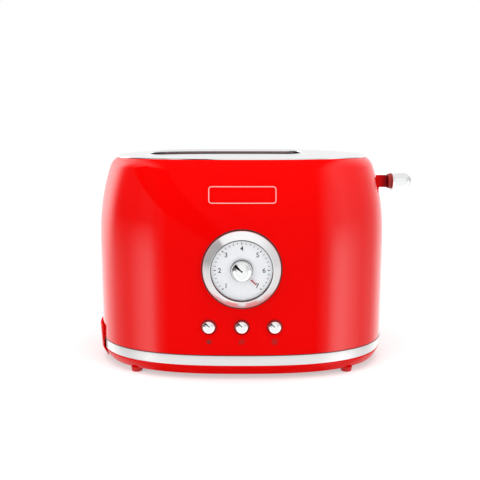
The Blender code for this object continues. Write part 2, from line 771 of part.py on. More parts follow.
def build_outer_shell():
    shell = plan_loft("outer_shell", SHELL_OUTLINE + SHELL_INSIDE[-1:1:-2] + SHELL_INSIDE[1::-1])
    dial = cylinder(
        "dial_hole",
        FACE_CUP_RADIUS + 2 * FIT,
        (0, FRONT_Y - OVERRUN, DIAL_HEIGHT),
        SHELL_WALL + 2 * OVERRUN,
        axis="+y",
        helper=True,
    )
    slot = box(
        "lever_slot",
        (
            BODY_LENGTH / 2 - LEAN_DEPTH - SHELL_WALL - OVERRUN,
            -LEVER_SLOT_WIDTH / 2,
            LEVER_FLOOR - LEVER_TAIL_DROP - CARRIAGE_TRAVEL - LEVER_SLOT_MARGIN,
        ),
        (
            BODY_LENGTH / 2 + OVERRUN,
            LEVER_SLOT_WIDTH / 2,
            LEVER_HEIGHT + LEVER_ARM_HEIGHT / 2 + LEVER_SLOT_MARGIN,
        ),
        helper=True,
    )
    gland = cylinder(
        "gland_hole",
        GLAND_NECK_RADIUS + FIT,
        (GLAND_X, BODY_DEPTH / 2 - SHELL_WALL - OVERRUN, GLAND_HEIGHT),
        SHELL_WALL + 2 * OVERRUN,
        axis="+y",
        segments=SMALL_SEGMENTS,
        helper=True,
    )
    cut(shell, dial, slot, gland)
    for name, x in BUTTONS:
        hole = cylinder(
            name + "_hole",
            BUTTON_RECESS_RADIUS,
            (x, FRONT_Y - OVERRUN, BUTTON_HEIGHT),
            SHELL_WALL + 2 * OVERRUN,
            axis="+y",
            segments=BUTTON_SEGMENTS,
            helper=True,
        )
        cut(shell, hole)
    return finish(shell, material("red lacquer", RED, GLOSS))


def slot_outline(offset):
    """A bread slot's outline, a stadium grown by an offset, as x and y from the slot's centre."""
    radius = SLOT_WIDTH / 2
    straight = SLOT_LENGTH / 2 - radius
    points = []
    for side in (1, -1):
        for step in range(SLOT_END_POINTS + 1):
            angle = side * math.pi / 2 - math.pi * step / SLOT_END_POINTS
            reach = radius + offset
            points.append((side * straight + reach * math.cos(angle), reach * math.sin(angle)))
        for step in range(1, SLOT_SIDE_POINTS):
            x = side * straight * (1 - 2 * step / SLOT_SIDE_POINTS)
            points.append((x, -side * (radius + offset)))
    return points


def slot_lip(name, centre_y):
    """The rolled lip of a slot: a bead that follows the dome, and a wall turned down into the body."""
    bead_end = LIP_WALL + BEAD_WIDTH
    shoulder = BEAD_WIDTH * BEAD_SHOULDER_SHARE
    profile = (
        (0.0, -LIP_DEPTH),
        (0.0, 0.0),
        (LIP_WALL / 2, BEAD_RISE * (1 - BEAD_SHOULDER_SHARE)),
        (LIP_WALL, BEAD_RISE),
        (LIP_WALL + shoulder, BEAD_RISE),
        (bead_end, 0.0),
        (bead_end, -TOP_WALL / 2),
        (LIP_WALL, -TOP_WALL / 2),
        (LIP_WALL, -LIP_DEPTH),
    )
    bm = bmesh.new()
    loops = []
    for offset, rise in profile:
        loop = []
        for x, y in slot_outline(offset):
            x += SLOT_CENTRE_X
            y += centre_y
            loop.append(bm.verts.new((x, y, crown_height(x, y) + rise)))
        loops.append(loop)
    for one, two in zip(loops, loops[1:] + loops[:1]):
        for i in range(len(one)):
            j = (i + 1) % len(one)
            bm.faces.new((one[i], one[j], two[j], two[i]))
    return place_object(name, mesh_from(name, bm), helper=True)


def build_top_panel():
    def deck(x, y):
        return crown_height(x, y)

    def underside(x, y):
        return crown_height(x, y) - TOP_WALL

    lip_foot = PANEL_SEAT - TOP_LIP_DEPTH
    inner = TOP_LIP_INSET + TOP_WALL
    rings = [share_ring(share, underside) for share in UNDER_RING_SHARES]
    rings.append(plan_ring(inner, underside))
    rings.append(plan_ring(inner, lip_foot))
    rings.append(plan_ring(TOP_LIP_INSET, lip_foot))
    rings.append(plan_ring(TOP_LIP_INSET, PANEL_SEAT))
    rings.append(plan_ring(SEAM_INSET + TOP_REVEAL, PANEL_SEAT))
    rings.append(plan_ring(SEAM_INSET + TOP_REVEAL, DECK_HEIGHT))
    rings += [share_ring(share, deck) for share in TOP_RING_SHARES]
    panel = ring_stack("top_panel", rings)
    for side, where in zip(SLOT_SIDES, ("front", "rear")):
        centre_y = side * SLOT_CENTRE_Y
        hole = as_mesh(
            flat_plate(
                "slot_hole_" + where,
                [slot_outline(LIP_WALL + BEAD_WIDTH / 2)],
                CROWN_RISE + LIP_DEPTH,
                (SLOT_CENTRE_X, centre_y, DECK_HEIGHT),
                helper=True,
            )
        )
        cut(panel, hole)
        join(panel, slot_lip("slot_lip_" + where, centre_y))
    return finish(panel, material("chrome", CHROME, POLISHED, 1.0))


def build_base_moulding():
    inside = UPSTAND_INSET + BASE_WALL
    rings = [
        plan_ring(inside, FLOOR_TOP),
        plan_ring(inside, UPSTAND_TOP),
        plan_ring(UPSTAND_INSET, UPSTAND_TOP),
        plan_ring(UPSTAND_INSET, BASE_TOP),
        plan_ring(BASE_EDGE_INSET, BASE_TOP),
        plan_ring(BASE_INSET, FOOT_HEIGHT),
    ]
    base = ring_stack("base_moulding", rings)
    boss = cylinder(
        "rod_boss",
        ROD_RADIUS + ROD_CLEARANCE + ROD_BOSS_WALL,
        (ROD_X, ROD_Y, FLOOR_TOP - OVERLAP),
        ROD_BOSS_HEIGHT + OVERLAP,
        segments=SMALL_SEGMENTS,
        helper=True,
    )
    socket = cylinder(
        "rod_socket",
        ROD_RADIUS + ROD_CLEARANCE,
        (ROD_X, ROD_Y, FLOOR_TOP),
        ROD_BOSS_HEIGHT + OVERRUN,
        segments=SMALL_SEGMENTS,
        helper=True,
    )
    mouth = box(
        "tray_mouth",
        (-BODY_LENGTH / 2 - OVERRUN, -TRAY_WIDTH / 2 - TRAY_CLEARANCE, FLOOR_TOP),
        (
            -BODY_LENGTH / 2 + BASE_INSET + BASE_WALL + OVERRUN + OVERRUN,
            TRAY_WIDTH / 2 + TRAY_CLEARANCE,
            FLOOR_TOP + FIT + TRAY_DEPTH + TRAY_CLEARANCE,
        ),
        helper=True,
    )
    join(base, boss)
    cut(base, socket, mouth)
    for i, (x, y) in enumerate(FEET):
        peg = cylinder(
            f"foot_socket_{i + 1}",
            FOOT_PEG_RADIUS + FIT,
            (x, y, FOOT_HEIGHT - OVERRUN),
            BASE_FLOOR + 2 * OVERRUN,
            segments=SMALL_SEGMENTS,
            helper=True,
        )
        cut(base, peg)
    for i, (x, y) in enumerate(SCREWS):
        hole = cylinder(
            f"screw_hole_{i + 1}",
            SCREW_SHANK_RADIUS + SCREW_CLEARANCE,
            (x, y, FOOT_HEIGHT - OVERRUN),
            BASE_FLOOR + 2 * OVERRUN,
            segments=SMALL_SEGMENTS,
            helper=True,
        )
        cut(base, hole)
    cut(base, *[vent_cutter(side, i) for side in (-1, 1) for i in range(VENT_COUNT)])
    return finish(base, material("red moulding", RED, GLOSS))


def vent_cutter(side, i):
    """One slot of the two rows of vents in the floor, below the mechanism."""
    y = side * (VENT_LENGTH / 2 + VENT_WIDTH)
    x = VENT_CENTRE_X + (i - (VENT_COUNT - 1) / 2) * VENT_PITCH
    return box(
        f"vent_{'left' if side < 0 else 'right'}_{i + 1}",
        (x - VENT_WIDTH / 2, y - VENT_LENGTH / 2, FOOT_HEIGHT - OVERRUN),
        (x + VENT_WIDTH / 2, y + VENT_LENGTH / 2, FLOOR_TOP + OVERRUN),
        helper=True,
    )


def build_trim_band():
    """The chrome band, open at the left end, where the tray's handle covers it."""
    half_share = (HANDLE_WIDTH / 2 + FIT) / (BODY_DEPTH / 2)
    gap = math.asin(half_share ** (PLAN_POWER / 2))
    low = BAND_LINE
    profile = (
        (UPSTAND_INSET - FIT, low),
        (UPSTAND_INSET - FIT, BAND_TOP),
        (-BAND_PROUD + BAND_CROWN, BAND_TOP),
        (-BAND_PROUD, BAND_TOP - BAND_CROWN),
        (-BAND_PROUD, low + BAND_CROWN),
        (-BAND_PROUD + BAND_CROWN, low),
    )
    band = plan_loft("trim_band", profile, start=gap - math.pi, end=math.pi - gap)
    return finish(band, material("chrome", CHROME, POLISHED, 1.0))


def build_feet():
    for (x, y), where in zip(FEET, ("front_left", "front_right", "rear_left", "rear_right")):
        profile = (
            (0.0, FOOT_HEIGHT + FOOT_PEG_HEIGHT),
            (FOOT_PEG_RADIUS, FOOT_HEIGHT + FOOT_PEG_HEIGHT),
            (FOOT_PEG_RADIUS, FOOT_HEIGHT - FIT),
            (FOOT_RADIUS, FOOT_HEIGHT - FIT),
            (FOOT_TOE_RADIUS, 0.0),
            (0.0, 0.0),
        )
        foot = turned("foot_" + where, profile, (x, y, 0))
        finish(foot, material("red rubber", RED, SATIN))


def build_screws():
    for i, (x, y) in enumerate(SCREWS):
        seat = FOOT_HEIGHT - FIT
        profile = (
            (0.0, seat + SCREW_SHANK_LENGTH),
            (SCREW_SHANK_RADIUS, seat + SCREW_SHANK_LENGTH),
            (SCREW_SHANK_RADIUS, seat),
            (SCREW_HEAD_RADIUS, seat),
            (SCREW_HEAD_RADIUS - SCREW_CLEARANCE, seat - SCREW_HEAD_HEIGHT),
            (0.0, seat - SCREW_HEAD_HEIGHT),
        )
        screw = turned(f"base_screw_{i + 1}", profile, (x, y, 0), segments=SMALL_SEGMENTS)
        finish(screw, material("steel", STEEL, SATIN, 1.0))


def build_end_plate(name, x, outward):
    """A sheet end plate with slits for the racks, holes for pivots and heater tabs, and two bent feet."""
    width = END_PLATE_HALF_WIDTH
    leg = width - END_PLATE_LEG_WIDTH
    foot = FLOOR_TOP + FIT
    ankle = foot + PLATE_WALL / 2
    outline = [
        (-width, ankle),
        (-leg, ankle),
        (-leg, END_PLATE_BRIDGE),
        (leg, END_PLATE_BRIDGE),
        (leg, ankle),
        (width, ankle),
        (width, END_PLATE_TOP),
        (-width, END_PLATE_TOP),
    ]
    holes = []
    for side in SLOT_SIDES:
        y = side * SLOT_CENTRE_Y
        low = RACK_HEIGHT - CARRIAGE_TRAVEL - SLIT_MARGIN
        high = RACK_HEIGHT + RACK_THICKNESS + SLIT_MARGIN
        holes.append(rectangle(y - SLIT_WIDTH / 2, low, y + SLIT_WIDTH / 2, high))
        for reach in (-GUARD_REACH, GUARD_REACH):
            holes.append(circle(y + reach, GUARD_HINGE_HEIGHT, PIVOT_HOLE_RADIUS))
    for y in (-HEATER_OUTER_Y, 0, HEATER_OUTER_Y):
        half = HEATER_WALL / 2 + FIT
        for low in (HEATER_BOTTOM, HEATER_TOP - HEATER_TAB_HEIGHT):
            holes.append(rectangle(y - half, low - FIT, y + half, low + HEATER_TAB_HEIGHT + FIT))
    plate = as_mesh(punched_plate(name, outline, holes, PLATE_WALL, (x, 0, 0), PLATE_TURN))
    for side in (-1, 1):
        far = x + outward * END_PLATE_FOOT_LENGTH
        low_y, high_y = sorted((side * (leg + PLATE_WALL), side * (width - PLATE_WALL)))
        bent = box(
            f"{name}_foot_{'front' if side < 0 else 'rear'}",
            (min(x, far), low_y, foot),
            (max(x, far), high_y, foot + PLATE_WALL),
            helper=True,
        )
        join(plate, bent)
    if outward > 0:
        reach = ROD_X + ROD_RADIUS + ROD_TAB_MARGIN
        half = ROD_RADIUS + ROD_TAB_MARGIN
        tab = box(
            "rod_tab",
            (x, ROD_Y - half, END_PLATE_TOP - 2 * PLATE_WALL),
            (reach, ROD_Y + half, END_PLATE_TOP - PLATE_WALL),
            helper=True,
        )
        eye = cylinder(
            "rod_eye",
            ROD_RADIUS + ROD_CLEARANCE,
            (ROD_X, ROD_Y, END_PLATE_TOP - OVERRUN),
            2 * OVERRUN,
            segments=SMALL_SEGMENTS,
            helper=True,
        )
        join(plate, tab)
        cut(plate, eye)
    for i, (screw_x, screw_y) in enumerate(SCREWS):
        if (screw_x > 0) == (outward > 0):
            hole = cylinder(
                f"{name}_screw_hole_{i + 1}",
                SCREW_SHANK_RADIUS + SCREW_CLEARANCE,
                (screw_x, screw_y, foot - PLATE_WALL),
                3 * PLATE_WALL,
                segments=SMALL_SEGMENTS,
                helper=True,
            )
            cut(plate, hole)
    return finish(plate, material("steel", STEEL, SATIN, 1.0))


def build_reflector(name, side):
    """A channel of bright sheet between the end plates, its flanges turned outward."""
    inner = side * REFLECTOR_Y
    outer = side * (REFLECTOR_Y + PLATE_WALL)
    edge = side * (REFLECTOR_Y + REFLECTOR_FLANGE)
    outline = [
        (inner, REFLECTOR_BOTTOM),
        (edge, REFLECTOR_BOTTOM),
        (edge, REFLECTOR_BOTTOM + PLATE_WALL),
        (outer, REFLECTOR_BOTTOM + PLATE_WALL),
        (outer, REFLECTOR_TOP - PLATE_WALL),
        (edge, REFLECTOR_TOP - PLATE_WALL),
        (edge, REFLECTOR_TOP),
        (inner, REFLECTOR_TOP),
    ]
    middle = (BETWEEN_LEFT + BETWEEN_RIGHT) / 2
    length = BETWEEN_RIGHT - BETWEEN_LEFT
    sheet = flat_plate(name, [outline], length, (middle, 0, 0), PLATE_TURN)
    return finish(sheet, material("bright steel", STEEL, SATIN, 1.0))


def build_heater_board(name, y):
    """A mica board with a tab at each corner, which passes through a slot in an end plate."""
    left = OUTSIDE_LEFT - HEATER_TAB_OVERHANG
    right = OUTSIDE_RIGHT + HEATER_TAB_OVERHANG
    low = HEATER_BOTTOM + HEATER_TAB_HEIGHT
    high = HEATER_TOP - HEATER_TAB_HEIGHT
    outline = [
        (left, HEATER_BOTTOM),
        (right, HEATER_BOTTOM),
        (right, low),
        (HEATER_RIGHT, low),
        (HEATER_RIGHT, high),
        (right, high),
        (right, HEATER_TOP),
        (left, HEATER_TOP),
        (left, high),
        (HEATER_LEFT, high),
        (HEATER_LEFT, low),
        (left, low),
    ]
    board = flat_plate(name, [outline], HEATER_WALL, (0, y, 0), UPRIGHT_TURN)
    return finish(board, material("mica", MICA, DULL))


def wire(name, points, radius, resolution, **options):
    """A round wire through points, as a curve with filled caps."""
    curve = bpy.data.curves.new(name, "CURVE")
    curve.dimensions = "3D"
    curve.bevel_depth = radius
    curve.bevel_resolution = resolution
    curve.use_fill_caps = True
    spline = curve.splines.new("POLY")
    spline.points.add(len(points) - 1)
    for point, place in zip(spline.points, points):
        point.co = (*place, 1)
    return place_object(name, curve, **options)


def build_heater_ribbon(name, y):
    """The resistance wire, wound round the board from its bottom tabs to its top ones."""
    stand_off = HEATER_WALL / 2 + FIT + RIBBON_RADIUS
    left = HEATER_LEFT - FIT - RIBBON_RADIUS
    right = HEATER_RIGHT + FIT + RIBBON_RADIUS
    low = HEATER_BOTTOM + HEATER_TAB_HEIGHT + RIBBON_CLEARANCE
    high = HEATER_TOP - HEATER_TAB_HEIGHT - RIBBON_CLEARANCE
    pitch = (high - low) / HEATER_TURNS
    points = []
    for turn in range(HEATER_TURNS):
        start = low + turn * pitch
        points += [
            (left, y - stand_off, start),
            (right, y - stand_off, start + pitch / 2),
            (right, y + stand_off, start + pitch / 2),
            (left, y + stand_off, start + pitch),
        ]
    winding = wire(name, points, RIBBON_RADIUS, 0)
    return finish(winding, material("heater wire", DARK_STEEL, SATIN, 1.0))


def build_guard(name, y):
    """A wire grid that hinges on two pivots along its lower edge; its origin is on the hinge axis."""
    left = BETWEEN_LEFT + GUARD_MARGIN
    right = BETWEEN_RIGHT - GUARD_MARGIN
    top = GUARD_TOP - GUARD_HINGE_HEIGHT
    half = PIVOT_HALF_HEIGHT
    outline = [
        (OUTSIDE_LEFT - PIVOT_OVERHANG, -half),
        (OUTSIDE_RIGHT + PIVOT_OVERHANG, -half),
        (OUTSIDE_RIGHT + PIVOT_OVERHANG, half),
        (right, half),
        (right, top),
        (left, top),
        (left, half),
        (OUTSIDE_LEFT - PIVOT_OVERHANG, half),
    ]
    pitch = (right - left - GUARD_WIRE) / (GUARD_BARS + 1)
    gaps = []
    for i in range(GUARD_BARS + 1):
        start = left + GUARD_WIRE + i * pitch
        gaps.append(rectangle(start, half + GUARD_SILL, start + pitch - GUARD_WIRE, top - GUARD_WIRE))
    axis = joint_empty(name + "_axis", (0, y, GUARD_HINGE_HEIGHT))
    hinge = (0, y, GUARD_HINGE_HEIGHT)
    guard = flat_plate(name, [outline, *gaps], GUARD_WIRE, hinge, UPRIGHT_TURN, parent=axis)
    return finish(guard, material("bright steel", STEEL, SATIN, 1.0))


def build_rack(name, y):
    """A bread rack: two rails and their rungs, with a tongue through the slit of each end plate."""
    left = BETWEEN_LEFT + RACK_END_MARGIN
    right = BETWEEN_RIGHT - RACK_END_MARGIN
    half = RACK_WIDTH / 2
    tongue = TONGUE_WIDTH / 2
    reach = BRACKET_X - BRACKET_WALL / 2 - FIT
    outline = [
        (left, -half),
        (right, -half),
        (right, -tongue),
        (reach, -tongue),
        (reach, tongue),
        (right, tongue),
        (right, half),
        (left, half),
        (left, tongue),
        (OUTSIDE_LEFT - TONGUE_OVERHANG, tongue),
        (OUTSIDE_LEFT - TONGUE_OVERHANG, -tongue),
        (left, -tongue),
    ]
    pitch = (right - left - RACK_RUNG) / RACK_GAPS
    gaps = []
    for i in range(RACK_GAPS):
        start = left + RACK_RUNG + i * pitch
        gaps.append(rectangle(start, -half + RACK_RAIL, start + pitch - RACK_RUNG, half - RACK_RAIL))
    place = (0, y, RACK_HEIGHT + RACK_THICKNESS / 2)
    rack = flat_plate(name, [outline, *gaps], RACK_THICKNESS, place, parent=CARRIAGE_AXIS)
    return finish(rack, material("steel", STEEL, SATIN, 1.0))


def build_carriage_bracket():
    """The bracket that joins both racks and the lever, with the sleeve that runs on the guide rod."""
    wide = BRACKET_HALF_WIDTH
    narrow = BRACKET_UPRIGHT_WIDTH / 2
    bar_top = BRACKET_BOTTOM + BRACKET_BAR_HEIGHT
    outline = [
        (-wide, BRACKET_BOTTOM),
        (wide, BRACKET_BOTTOM),
        (wide, bar_top),
        (narrow, bar_top),
        (narrow, BRACKET_TOP),
        (-narrow, BRACKET_TOP),
        (-narrow, bar_top),
        (-wide, bar_top),
    ]
    place = (BRACKET_X, 0, 0)
    bracket = as_mesh(
        flat_plate("carriage_bracket", [outline], BRACKET_WALL, place, PLATE_TURN, parent=CARRIAGE_AXIS)
    )
    sleeve = cylinder(
        "sleeve",
        SLEEVE_RADIUS,
        (ROD_X, ROD_Y, BRACKET_BOTTOM),
        SLEEVE_HEIGHT,
        segments=SMALL_SEGMENTS,
        helper=True,
    )
    bore = cylinder(
        "sleeve_bore",
        ROD_RADIUS + ROD_CLEARANCE,
        (ROD_X, ROD_Y, BRACKET_BOTTOM - OVERRUN),
        SLEEVE_HEIGHT + 2 * OVERRUN,
        segments=SMALL_SEGMENTS,
        helper=True,
    )
    join(bracket, sleeve)
    cut(bracket, bore)
    return finish(bracket, material("steel", STEEL, SATIN, 1.0))


def build_guide_rod():
    bottom = FLOOR_TOP + FIT
    foot = (ROD_X, ROD_Y, bottom)
    rod = cylinder("guide_rod", ROD_RADIUS, foot, ROD_TOP - bottom, segments=SMALL_SEGMENTS)
    return finish(rod, material("steel", STEEL, SATIN, 1.0))


def build_return_spring():
    """A compression spring round the rod: one unbroken helix, with its least gap measured turn to turn."""
    low = SPRING_SEAT + FIT + SPRING_WIRE_RADIUS
    high = BRACKET_BOTTOM - FIT - SPRING_WIRE_RADIUS
    count = SPRING_TURNS * SPRING_POINTS_A_TURN
    points = []
    for i in range(count + 1):
        angle = math.tau * i / SPRING_POINTS_A_TURN
        points.append(
            (
                ROD_X + SPRING_RADIUS * math.cos(angle),
                ROD_Y + SPRING_RADIUS * math.sin(angle),
                low + (high - low) * i / count,
            )
        )
    gap = (high - low) / SPRING_TURNS - 2 * SPRING_WIRE_RADIUS
    print(f"return_spring: gap between turns {gap * 1000:.1f} mm")
    spring = wire("return_spring", points, SPRING_WIRE_RADIUS, 1)
    return finish(spring, material("steel", STEEL, SATIN, 1.0))


def build_magnet():
    """A U core on the floor with a coil round one leg; the armature above it rides on the carriage."""
    low = FLOOR_TOP + FIT
    top = MAGNET_TOP
    half = MAGNET_DEPTH / 2
    centre_x = BRACKET_X + BRACKET_WALL / 2 + FIT + ARMATURE_LENGTH / 2
    outline = [
        (-half, low),
        (half, low),
        (half, top),
        (half - MAGNET_YOKE, top),
        (half - MAGNET_YOKE, low + MAGNET_YOKE),
        (MAGNET_YOKE - half, low + MAGNET_YOKE),
        (MAGNET_YOKE - half, top),
        (-half, top),
    ]
    core = flat_plate("magnet_core", [outline], MAGNET_LENGTH, (centre_x, MAGNET_Y, 0), PLATE_TURN)
    finish(core, material("laminations", DARK_STEEL, SATIN, 1.0))
    leg_y = MAGNET_Y - half + MAGNET_YOKE / 2
    inner_x = MAGNET_LENGTH / 2 + FIT
    inner_y = MAGNET_YOKE / 2 + FIT
    coil_low = low + MAGNET_YOKE + FIT
    coil_high = top - COIL_MARGIN
    coil = flat_plate(
        "magnet_coil",
        [
            rectangle(-inner_x - COIL_WALL, -inner_y - COIL_WALL, inner_x + COIL_WALL, inner_y + COIL_WALL),
            rectangle(-inner_x, -inner_y, inner_x, inner_y),
        ],
        coil_high - coil_low,
        (centre_x, leg_y, (coil_low + coil_high) / 2),
    )
    finish(coil, material("copper winding", COPPER, SATIN, 1.0))
    armature = box(
        "armature",
        (centre_x - ARMATURE_LENGTH / 2, MAGNET_Y - half, BRACKET_BOTTOM),
        (centre_x + ARMATURE_LENGTH / 2, MAGNET_Y + half, BRACKET_BOTTOM + ARMATURE_HEIGHT),
        parent=CARRIAGE_AXIS,
    )
    finish(armature, material("laminations", DARK_STEEL, SATIN, 1.0))


def build_lever():
    """The arm through the end slot, with its tail and spigot, then the collar and the bullet knob."""
    near = BRACKET_X + BRACKET_WALL / 2 + FIT
    half = LEVER_ARM_WIDTH / 2
    top = LEVER_FLOOR + LEVER_ARM_HEIGHT
    arm = box("lever_arm", (near, -half, LEVER_FLOOR), (LEVER_ARM_REACH, half, top), parent=CARRIAGE_AXIS)
    tail = box(
        "lever_tail",
        (LEVER_TAIL_REACH - LEVER_TAIL_THICKNESS, -half, LEVER_FLOOR - LEVER_TAIL_DROP),
        (LEVER_TAIL_REACH, half, LEVER_FLOOR + OVERLAP),
        helper=True,
    )
    spigot = cylinder(
        "lever_spigot",
        LEVER_SPIGOT_RADIUS,
        (LEVER_ARM_REACH - OVERLAP, 0, LEVER_HEIGHT),
        LEVER_SPIGOT_LENGTH + OVERLAP,
        axis="+x",
        segments=SMALL_SEGMENTS,
        helper=True,
    )
    join(arm, tail, spigot)
    finish(arm, material("dark red moulding", DARK_RED, SATIN))

    bore = LEVER_SPIGOT_RADIUS + FIT
    start = LEVER_ARM_REACH + FIT
    end = start + COLLAR_LENGTH
    collar_profile = (
        (bore, COLLAR_LENGTH),
        (COLLAR_RADIUS - LEVER_FILLET, COLLAR_LENGTH),
        (COLLAR_RADIUS, COLLAR_LENGTH - LEVER_FILLET),
        (COLLAR_RADIUS, LEVER_FILLET),
        (COLLAR_RADIUS - LEVER_FILLET, 0.0),
        (bore, 0.0),
    )
    along = {"axis": "+x", "parent": CARRIAGE_AXIS}
    collar = turned("lever_collar", collar_profile, (start, 0, LEVER_HEIGHT), **along)
    finish(collar, material("chrome", CHROME, POLISHED, 1.0))

    knob_start = end + FIT
    length = KNOB_TIP_REACH - knob_start
    nose = length - KNOB_BARREL
    profile = []
    for step in range(KNOB_NOSE_STEPS + 1):
        angle = math.pi / 2 * (1 - step / KNOB_NOSE_STEPS)
        profile.append((KNOB_RADIUS * math.cos(angle), KNOB_BARREL + nose * math.sin(angle)))
    profile[0] = (0.0, length)
    profile.append((KNOB_NECK_RADIUS, 0.0))
    profile.append((bore, 0.0))
    bore_end = LEVER_SPIGOT_LENGTH - COLLAR_LENGTH - FIT
    profile += [(bore, bore_end), (0.0, bore_end)]
    knob = turned("lever_knob", profile, (knob_start, 0, LEVER_HEIGHT), **along)
    finish(knob, material("chrome", CHROME, POLISHED, 1.0))


def build_dial():
    """The fixed face in its cup, then the turning ring with its window, needle, cap and shaft."""
    centre = (0, FRONT_Y, DIAL_HEIGHT)
    cup_inner = FACE_CUP_RADIUS - FACE_CUP_WALL
    face_profile = (
        (SHAFT_HOLE_RADIUS, FACE_PROUD),
        (DIAL_OPENING_RADIUS, FACE_PROUD),
        (DIAL_OPENING_RADIUS, FACE_PROUD - FACE_THICKNESS),
        (FACE_CUP_RADIUS, FACE_PROUD - FACE_THICKNESS),
        (FACE_CUP_RADIUS, -FACE_FLANGE_DEPTH),
        (FACE_FLANGE_RADIUS, -FACE_FLANGE_DEPTH),
        (FACE_FLANGE_RADIUS, -FACE_FLANGE_DEPTH - FACE_FLANGE_WALL),
        (cup_inner, -FACE_FLANGE_DEPTH - FACE_FLANGE_WALL),
        (cup_inner, FACE_PROUD - FACE_THICKNESS),
        (SHAFT_HOLE_RADIUS, FACE_PROUD - FACE_THICKNESS),
    )
    face = turned("dial_face", face_profile, centre, axis="-y")
    finish(face, material("silver face", WHITE, SATIN))

    knob = {"axis": "-y", "parent": KNOB_AXIS}
    window_radius = DIAL_OPENING_RADIUS + WINDOW_LAP
    wall = window_radius + FIT
    lip = DIAL_PROUD - DIAL_LIP_DEPTH
    ring_profile = (
        (DIAL_OPENING_RADIUS, DIAL_PROUD),
        (DIAL_BEVEL_INNER_RADIUS, DIAL_PROUD),
        (DIAL_RADIUS, FIT + DIAL_EDGE),
        (DIAL_RADIUS, FIT),
        (wall, FIT),
        (wall, lip),
        (DIAL_OPENING_RADIUS, lip),
    )
    ring = turned("knob_ring", ring_profile, centre, segments=FINE_SEGMENTS, **knob)
    finish(ring, material("chrome", CHROME, POLISHED, 1.0))

    window_top = lip - FIT
    window_low = window_top - WINDOW_THICKNESS
    window = cylinder(
        "knob_window", window_radius, (0, FRONT_Y - window_low, DIAL_HEIGHT), WINDOW_THICKNESS, **knob
    )
    finish(window, material("clear window", CLEAR, POLISHED))

    cap_low = window_top + FIT
    cap_rise = CAP_PROUD - cap_low - CAP_EDGE
    cap_profile = [(0.0, CAP_PROUD)]
    for step in range(1, CAP_STEPS + 1):
        angle = math.pi / 2 * step / CAP_STEPS
        cap_profile.append((CAP_RADIUS * math.sin(angle), cap_low + CAP_EDGE + cap_rise * math.cos(angle)))
    cap_profile += [(CAP_RADIUS, cap_low), (0.0, cap_low)]
    cap = turned("knob_cap", cap_profile, centre, **knob)
    finish(cap, material("chrome", CHROME, POLISHED, 1.0))

    needle_top = window_low - FIT
    bm = bmesh.new()
    bmesh.ops.create_cube(bm, size=1)
    bmesh.ops.scale(bm, vec=(NEEDLE_WIDTH, NEEDLE_THICKNESS, NEEDLE_END - NEEDLE_START), verts=bm.verts)
    shift = (0, -needle_top + NEEDLE_THICKNESS / 2, (NEEDLE_START + NEEDLE_END) / 2)
    bmesh.ops.translate(bm, vec=shift, verts=bm.verts)
    turn = (0, NEEDLE_ANGLE, 0)
    needle = place_object("knob_needle", mesh_from("knob_needle", bm), centre, turn, parent=KNOB_AXIS)
    finish(needle, material("red needle", RED, SATIN))

    shaft_top = window_low - FIT
    shaft = cylinder(
        "knob_shaft",
        SHAFT_RADIUS,
        (0, FRONT_Y + SHAFT_DEPTH, DIAL_HEIGHT),
        SHAFT_DEPTH + shaft_top,
        segments=SMALL_SEGMENTS,
        **knob,
    )
    finish(shaft, material("steel", STEEL, SATIN, 1.0))


def build_buttons():
    """Three domed buttons in a guide moulding, each with a flange behind it and a stem to its switch."""
    half_length = BUTTON_PITCH + GUIDE_PLATE_MARGIN
    plate_front = SHELL_WALL + front_sag(half_length) + GUIDE_PLATE_CLEARANCE
    plate_back = plate_front + GUIDE_PLATE_WALL
    guide = box(
        "button_guide",
        (-half_length, FRONT_Y + plate_front, UPSTAND_TOP + GUIDE_PLATE_GAP),
        (half_length, FRONT_Y + plate_back, DIAL_HEIGHT - FACE_FLANGE_RADIUS - GUIDE_PLATE_GAP),
    )
    bore = BUTTON_RADIUS + FIT
    flange_front = plate_back + FIT
    flange_back = flange_front + BUTTON_FLANGE_WALL
    switch_front = BOARD_DEPTH - BOARD_WALL / 2 - FIT - SWITCH_DEPTH - SWITCH_PLUNGER_LENGTH
    stem_end = switch_front - BUTTON_TRAVEL - FIT
    for name, x in BUTTONS:
        tube = cylinder(
            name + "_guide",
            bore + GUIDE_WALL,
            (x, FRONT_Y + GUIDE_RECESS, BUTTON_HEIGHT),
            plate_back - GUIDE_RECESS - OVERLAP,
            axis="+y",
            segments=BUTTON_SEGMENTS,
            helper=True,
        )
        hole = cylinder(
            name + "_bore",
            bore,
            (x, FRONT_Y + GUIDE_RECESS - OVERRUN, BUTTON_HEIGHT),
            plate_back - GUIDE_RECESS + 2 * OVERRUN,
            axis="+y",
            segments=BUTTON_SEGMENTS,
            helper=True,
        )
        join(guide, tube)
        cut(guide, hole)
        profile = [(0.0, BUTTON_PROUD)]
        for step in range(1, BUTTON_DOME_STEPS + 1):
            angle = math.pi / 2 * step / BUTTON_DOME_STEPS
            rise = (BUTTON_PROUD - BUTTON_EDGE_PROUD) * math.cos(angle)
            profile.append((BUTTON_RADIUS * math.sin(angle), BUTTON_EDGE_PROUD + rise))
        profile += [
            (BUTTON_RADIUS, -flange_front),
            (BUTTON_FLANGE_RADIUS, -flange_front),
            (BUTTON_FLANGE_RADIUS, -flange_back),
            (BUTTON_STEM_RADIUS, -flange_back),
            (BUTTON_STEM_RADIUS, -stem_end),
            (0.0, -stem_end),
        ]
        place = (x, FRONT_Y, BUTTON_HEIGHT)
        axis = joint_empty(name + "_axis", place)
        button = turned(name, profile, place, axis="-y", segments=BUTTON_SEGMENTS, parent=axis)
        finish(button, material("chrome", CHROME, POLISHED, 1.0))
    return finish(guide, material("dark red moulding", DARK_RED, SATIN))


